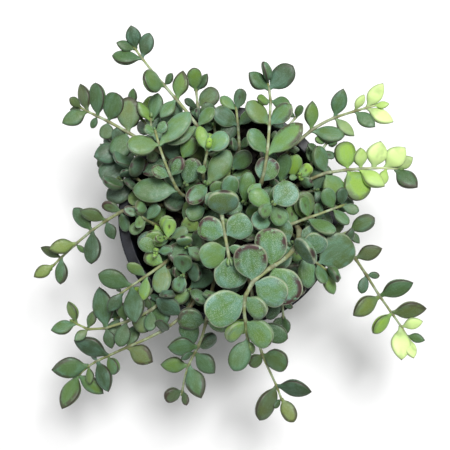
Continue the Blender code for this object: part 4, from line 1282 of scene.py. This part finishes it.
# A Random Value node has sockets for every kind of value. These are the numbers of those used.
TURN_LIMIT, LEAST_SIZE, MOST_SIZE, TURN_RESULT, SIZE_RESULT = 1, 2, 3, 0, 1


def make_crumb_tree():
    tree, given, out = new_tree("crumbs", Density=("NodeSocketFloat", CRUMBS_A_SQUARE_METRE),
                                Size=("NodeSocketFloat", CRUMB_SIZE),
                                Seed=("NodeSocketInt", CRUMB_SEED))
    spread = add(tree, "GeometryNodeDistributePointsOnFaces", {
        "Mesh": given.outputs["Geometry"], "Density": given.outputs["Density"],
        "Seed": given.outputs["Seed"]})
    lumps = add(tree, "GeometryNodeCollectionInfo", {
        "Collection": crumb_forms, "Separate Children": True, "Reset Children": True})
    turn = add(tree, "FunctionNodeRandomValue", {TURN_LIMIT: (math.tau,) * 3, "Seed": TURN_SEED},
               data_type="FLOAT_VECTOR")
    least, most = CRUMB_SIZES
    size = add(tree, "FunctionNodeRandomValue", {
        LEAST_SIZE: least, MOST_SIZE: most, "Seed": SIZE_SEED}, data_type="FLOAT")
    scale = calc(tree, "MULTIPLY", size.outputs[SIZE_RESULT], given.outputs["Size"])
    laid = add(tree, "GeometryNodeInstanceOnPoints", {
        "Points": spread.outputs["Points"], "Instance": lumps.outputs["Instances"],
        "Pick Instance": True, "Rotation": turn.outputs[TURN_RESULT], "Scale": scale})
    real = add(tree, "GeometryNodeRealizeInstances", {"Geometry": laid.outputs["Instances"]})
    done = add(tree, "GeometryNodeSetMaterial", {
        "Geometry": real.outputs["Geometry"], "Material": soil_finish})
    tree.links.new(done.outputs["Geometry"], out.inputs["Geometry"])
    return tree


crumbs = grow("crumbs", soil_top, make_crumb_tree(), Density=CRUMBS_A_SQUARE_METRE,
              Size=CRUMB_SIZE, Seed=CRUMB_SEED)
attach(crumbs, "root")
remove_forms(crumb_forms)
print("crumbs with", len(crumbs.data.polygons), "faces")

# %% [markdown]
# ## The floor and the light
#
# The plant stands on a plain pale floor. One broad light from above and a weak one from the side
# make soft shadows, so that the leaves look round and the gaps between them stay dark. A pale even
# sky fills in the rest. The Standard view keeps the colours as they were chosen.

# %% Floor and lights
FLOOR_REACH = 15.0
FLOOR_PALE = (0.9, 0.9, 0.9, 1)
LIGHT_SIZE = 0.5
SKY_WHITE = (1.0, 1.0, 1.0, 1)
SKY_STRENGTH = 0.22


def make_floor():
    bm = bmesh.new()
    bmesh.ops.create_grid(bm, x_segments=1, y_segments=1, size=FLOOR_REACH)
    floor = new_object("floor", mesh_from("floor", bm))
    finish, *_ = new_finish("pale floor", Roughness=0.9, Base_Color=FLOOR_PALE)
    floor.data.materials.append(finish)


def make_light(name, place, power):
    """A round area light that faces the middle of the pot's rim."""
    lamp = bpy.data.lights.new(name, "AREA")
    lamp.shape = "DISK"
    lamp.size = LIGHT_SIZE
    lamp.energy = power
    light = new_object(name, lamp)
    light.location = place
    from_rim = Vector(place) - Vector((0, 0, RIM_HEIGHT))
    light.rotation_euler = from_rim.to_track_quat("Z", "Y").to_euler()


make_floor()
make_light("broad light", place=(0.22, 0.42, 1.25), power=20.0)
make_light("side light", place=(-0.6, 0.1, 0.9), power=2.0)
world = bpy.data.worlds.new("studio")
world.use_nodes = True
sky = world.node_tree.nodes["Background"]
sky.inputs["Color"].default_value = SKY_WHITE
sky.inputs["Strength"].default_value = SKY_STRENGTH
bpy.context.scene.world = world
bpy.context.scene.view_settings.view_transform = "Standard"
print(len(bpy.data.lights), "lights")
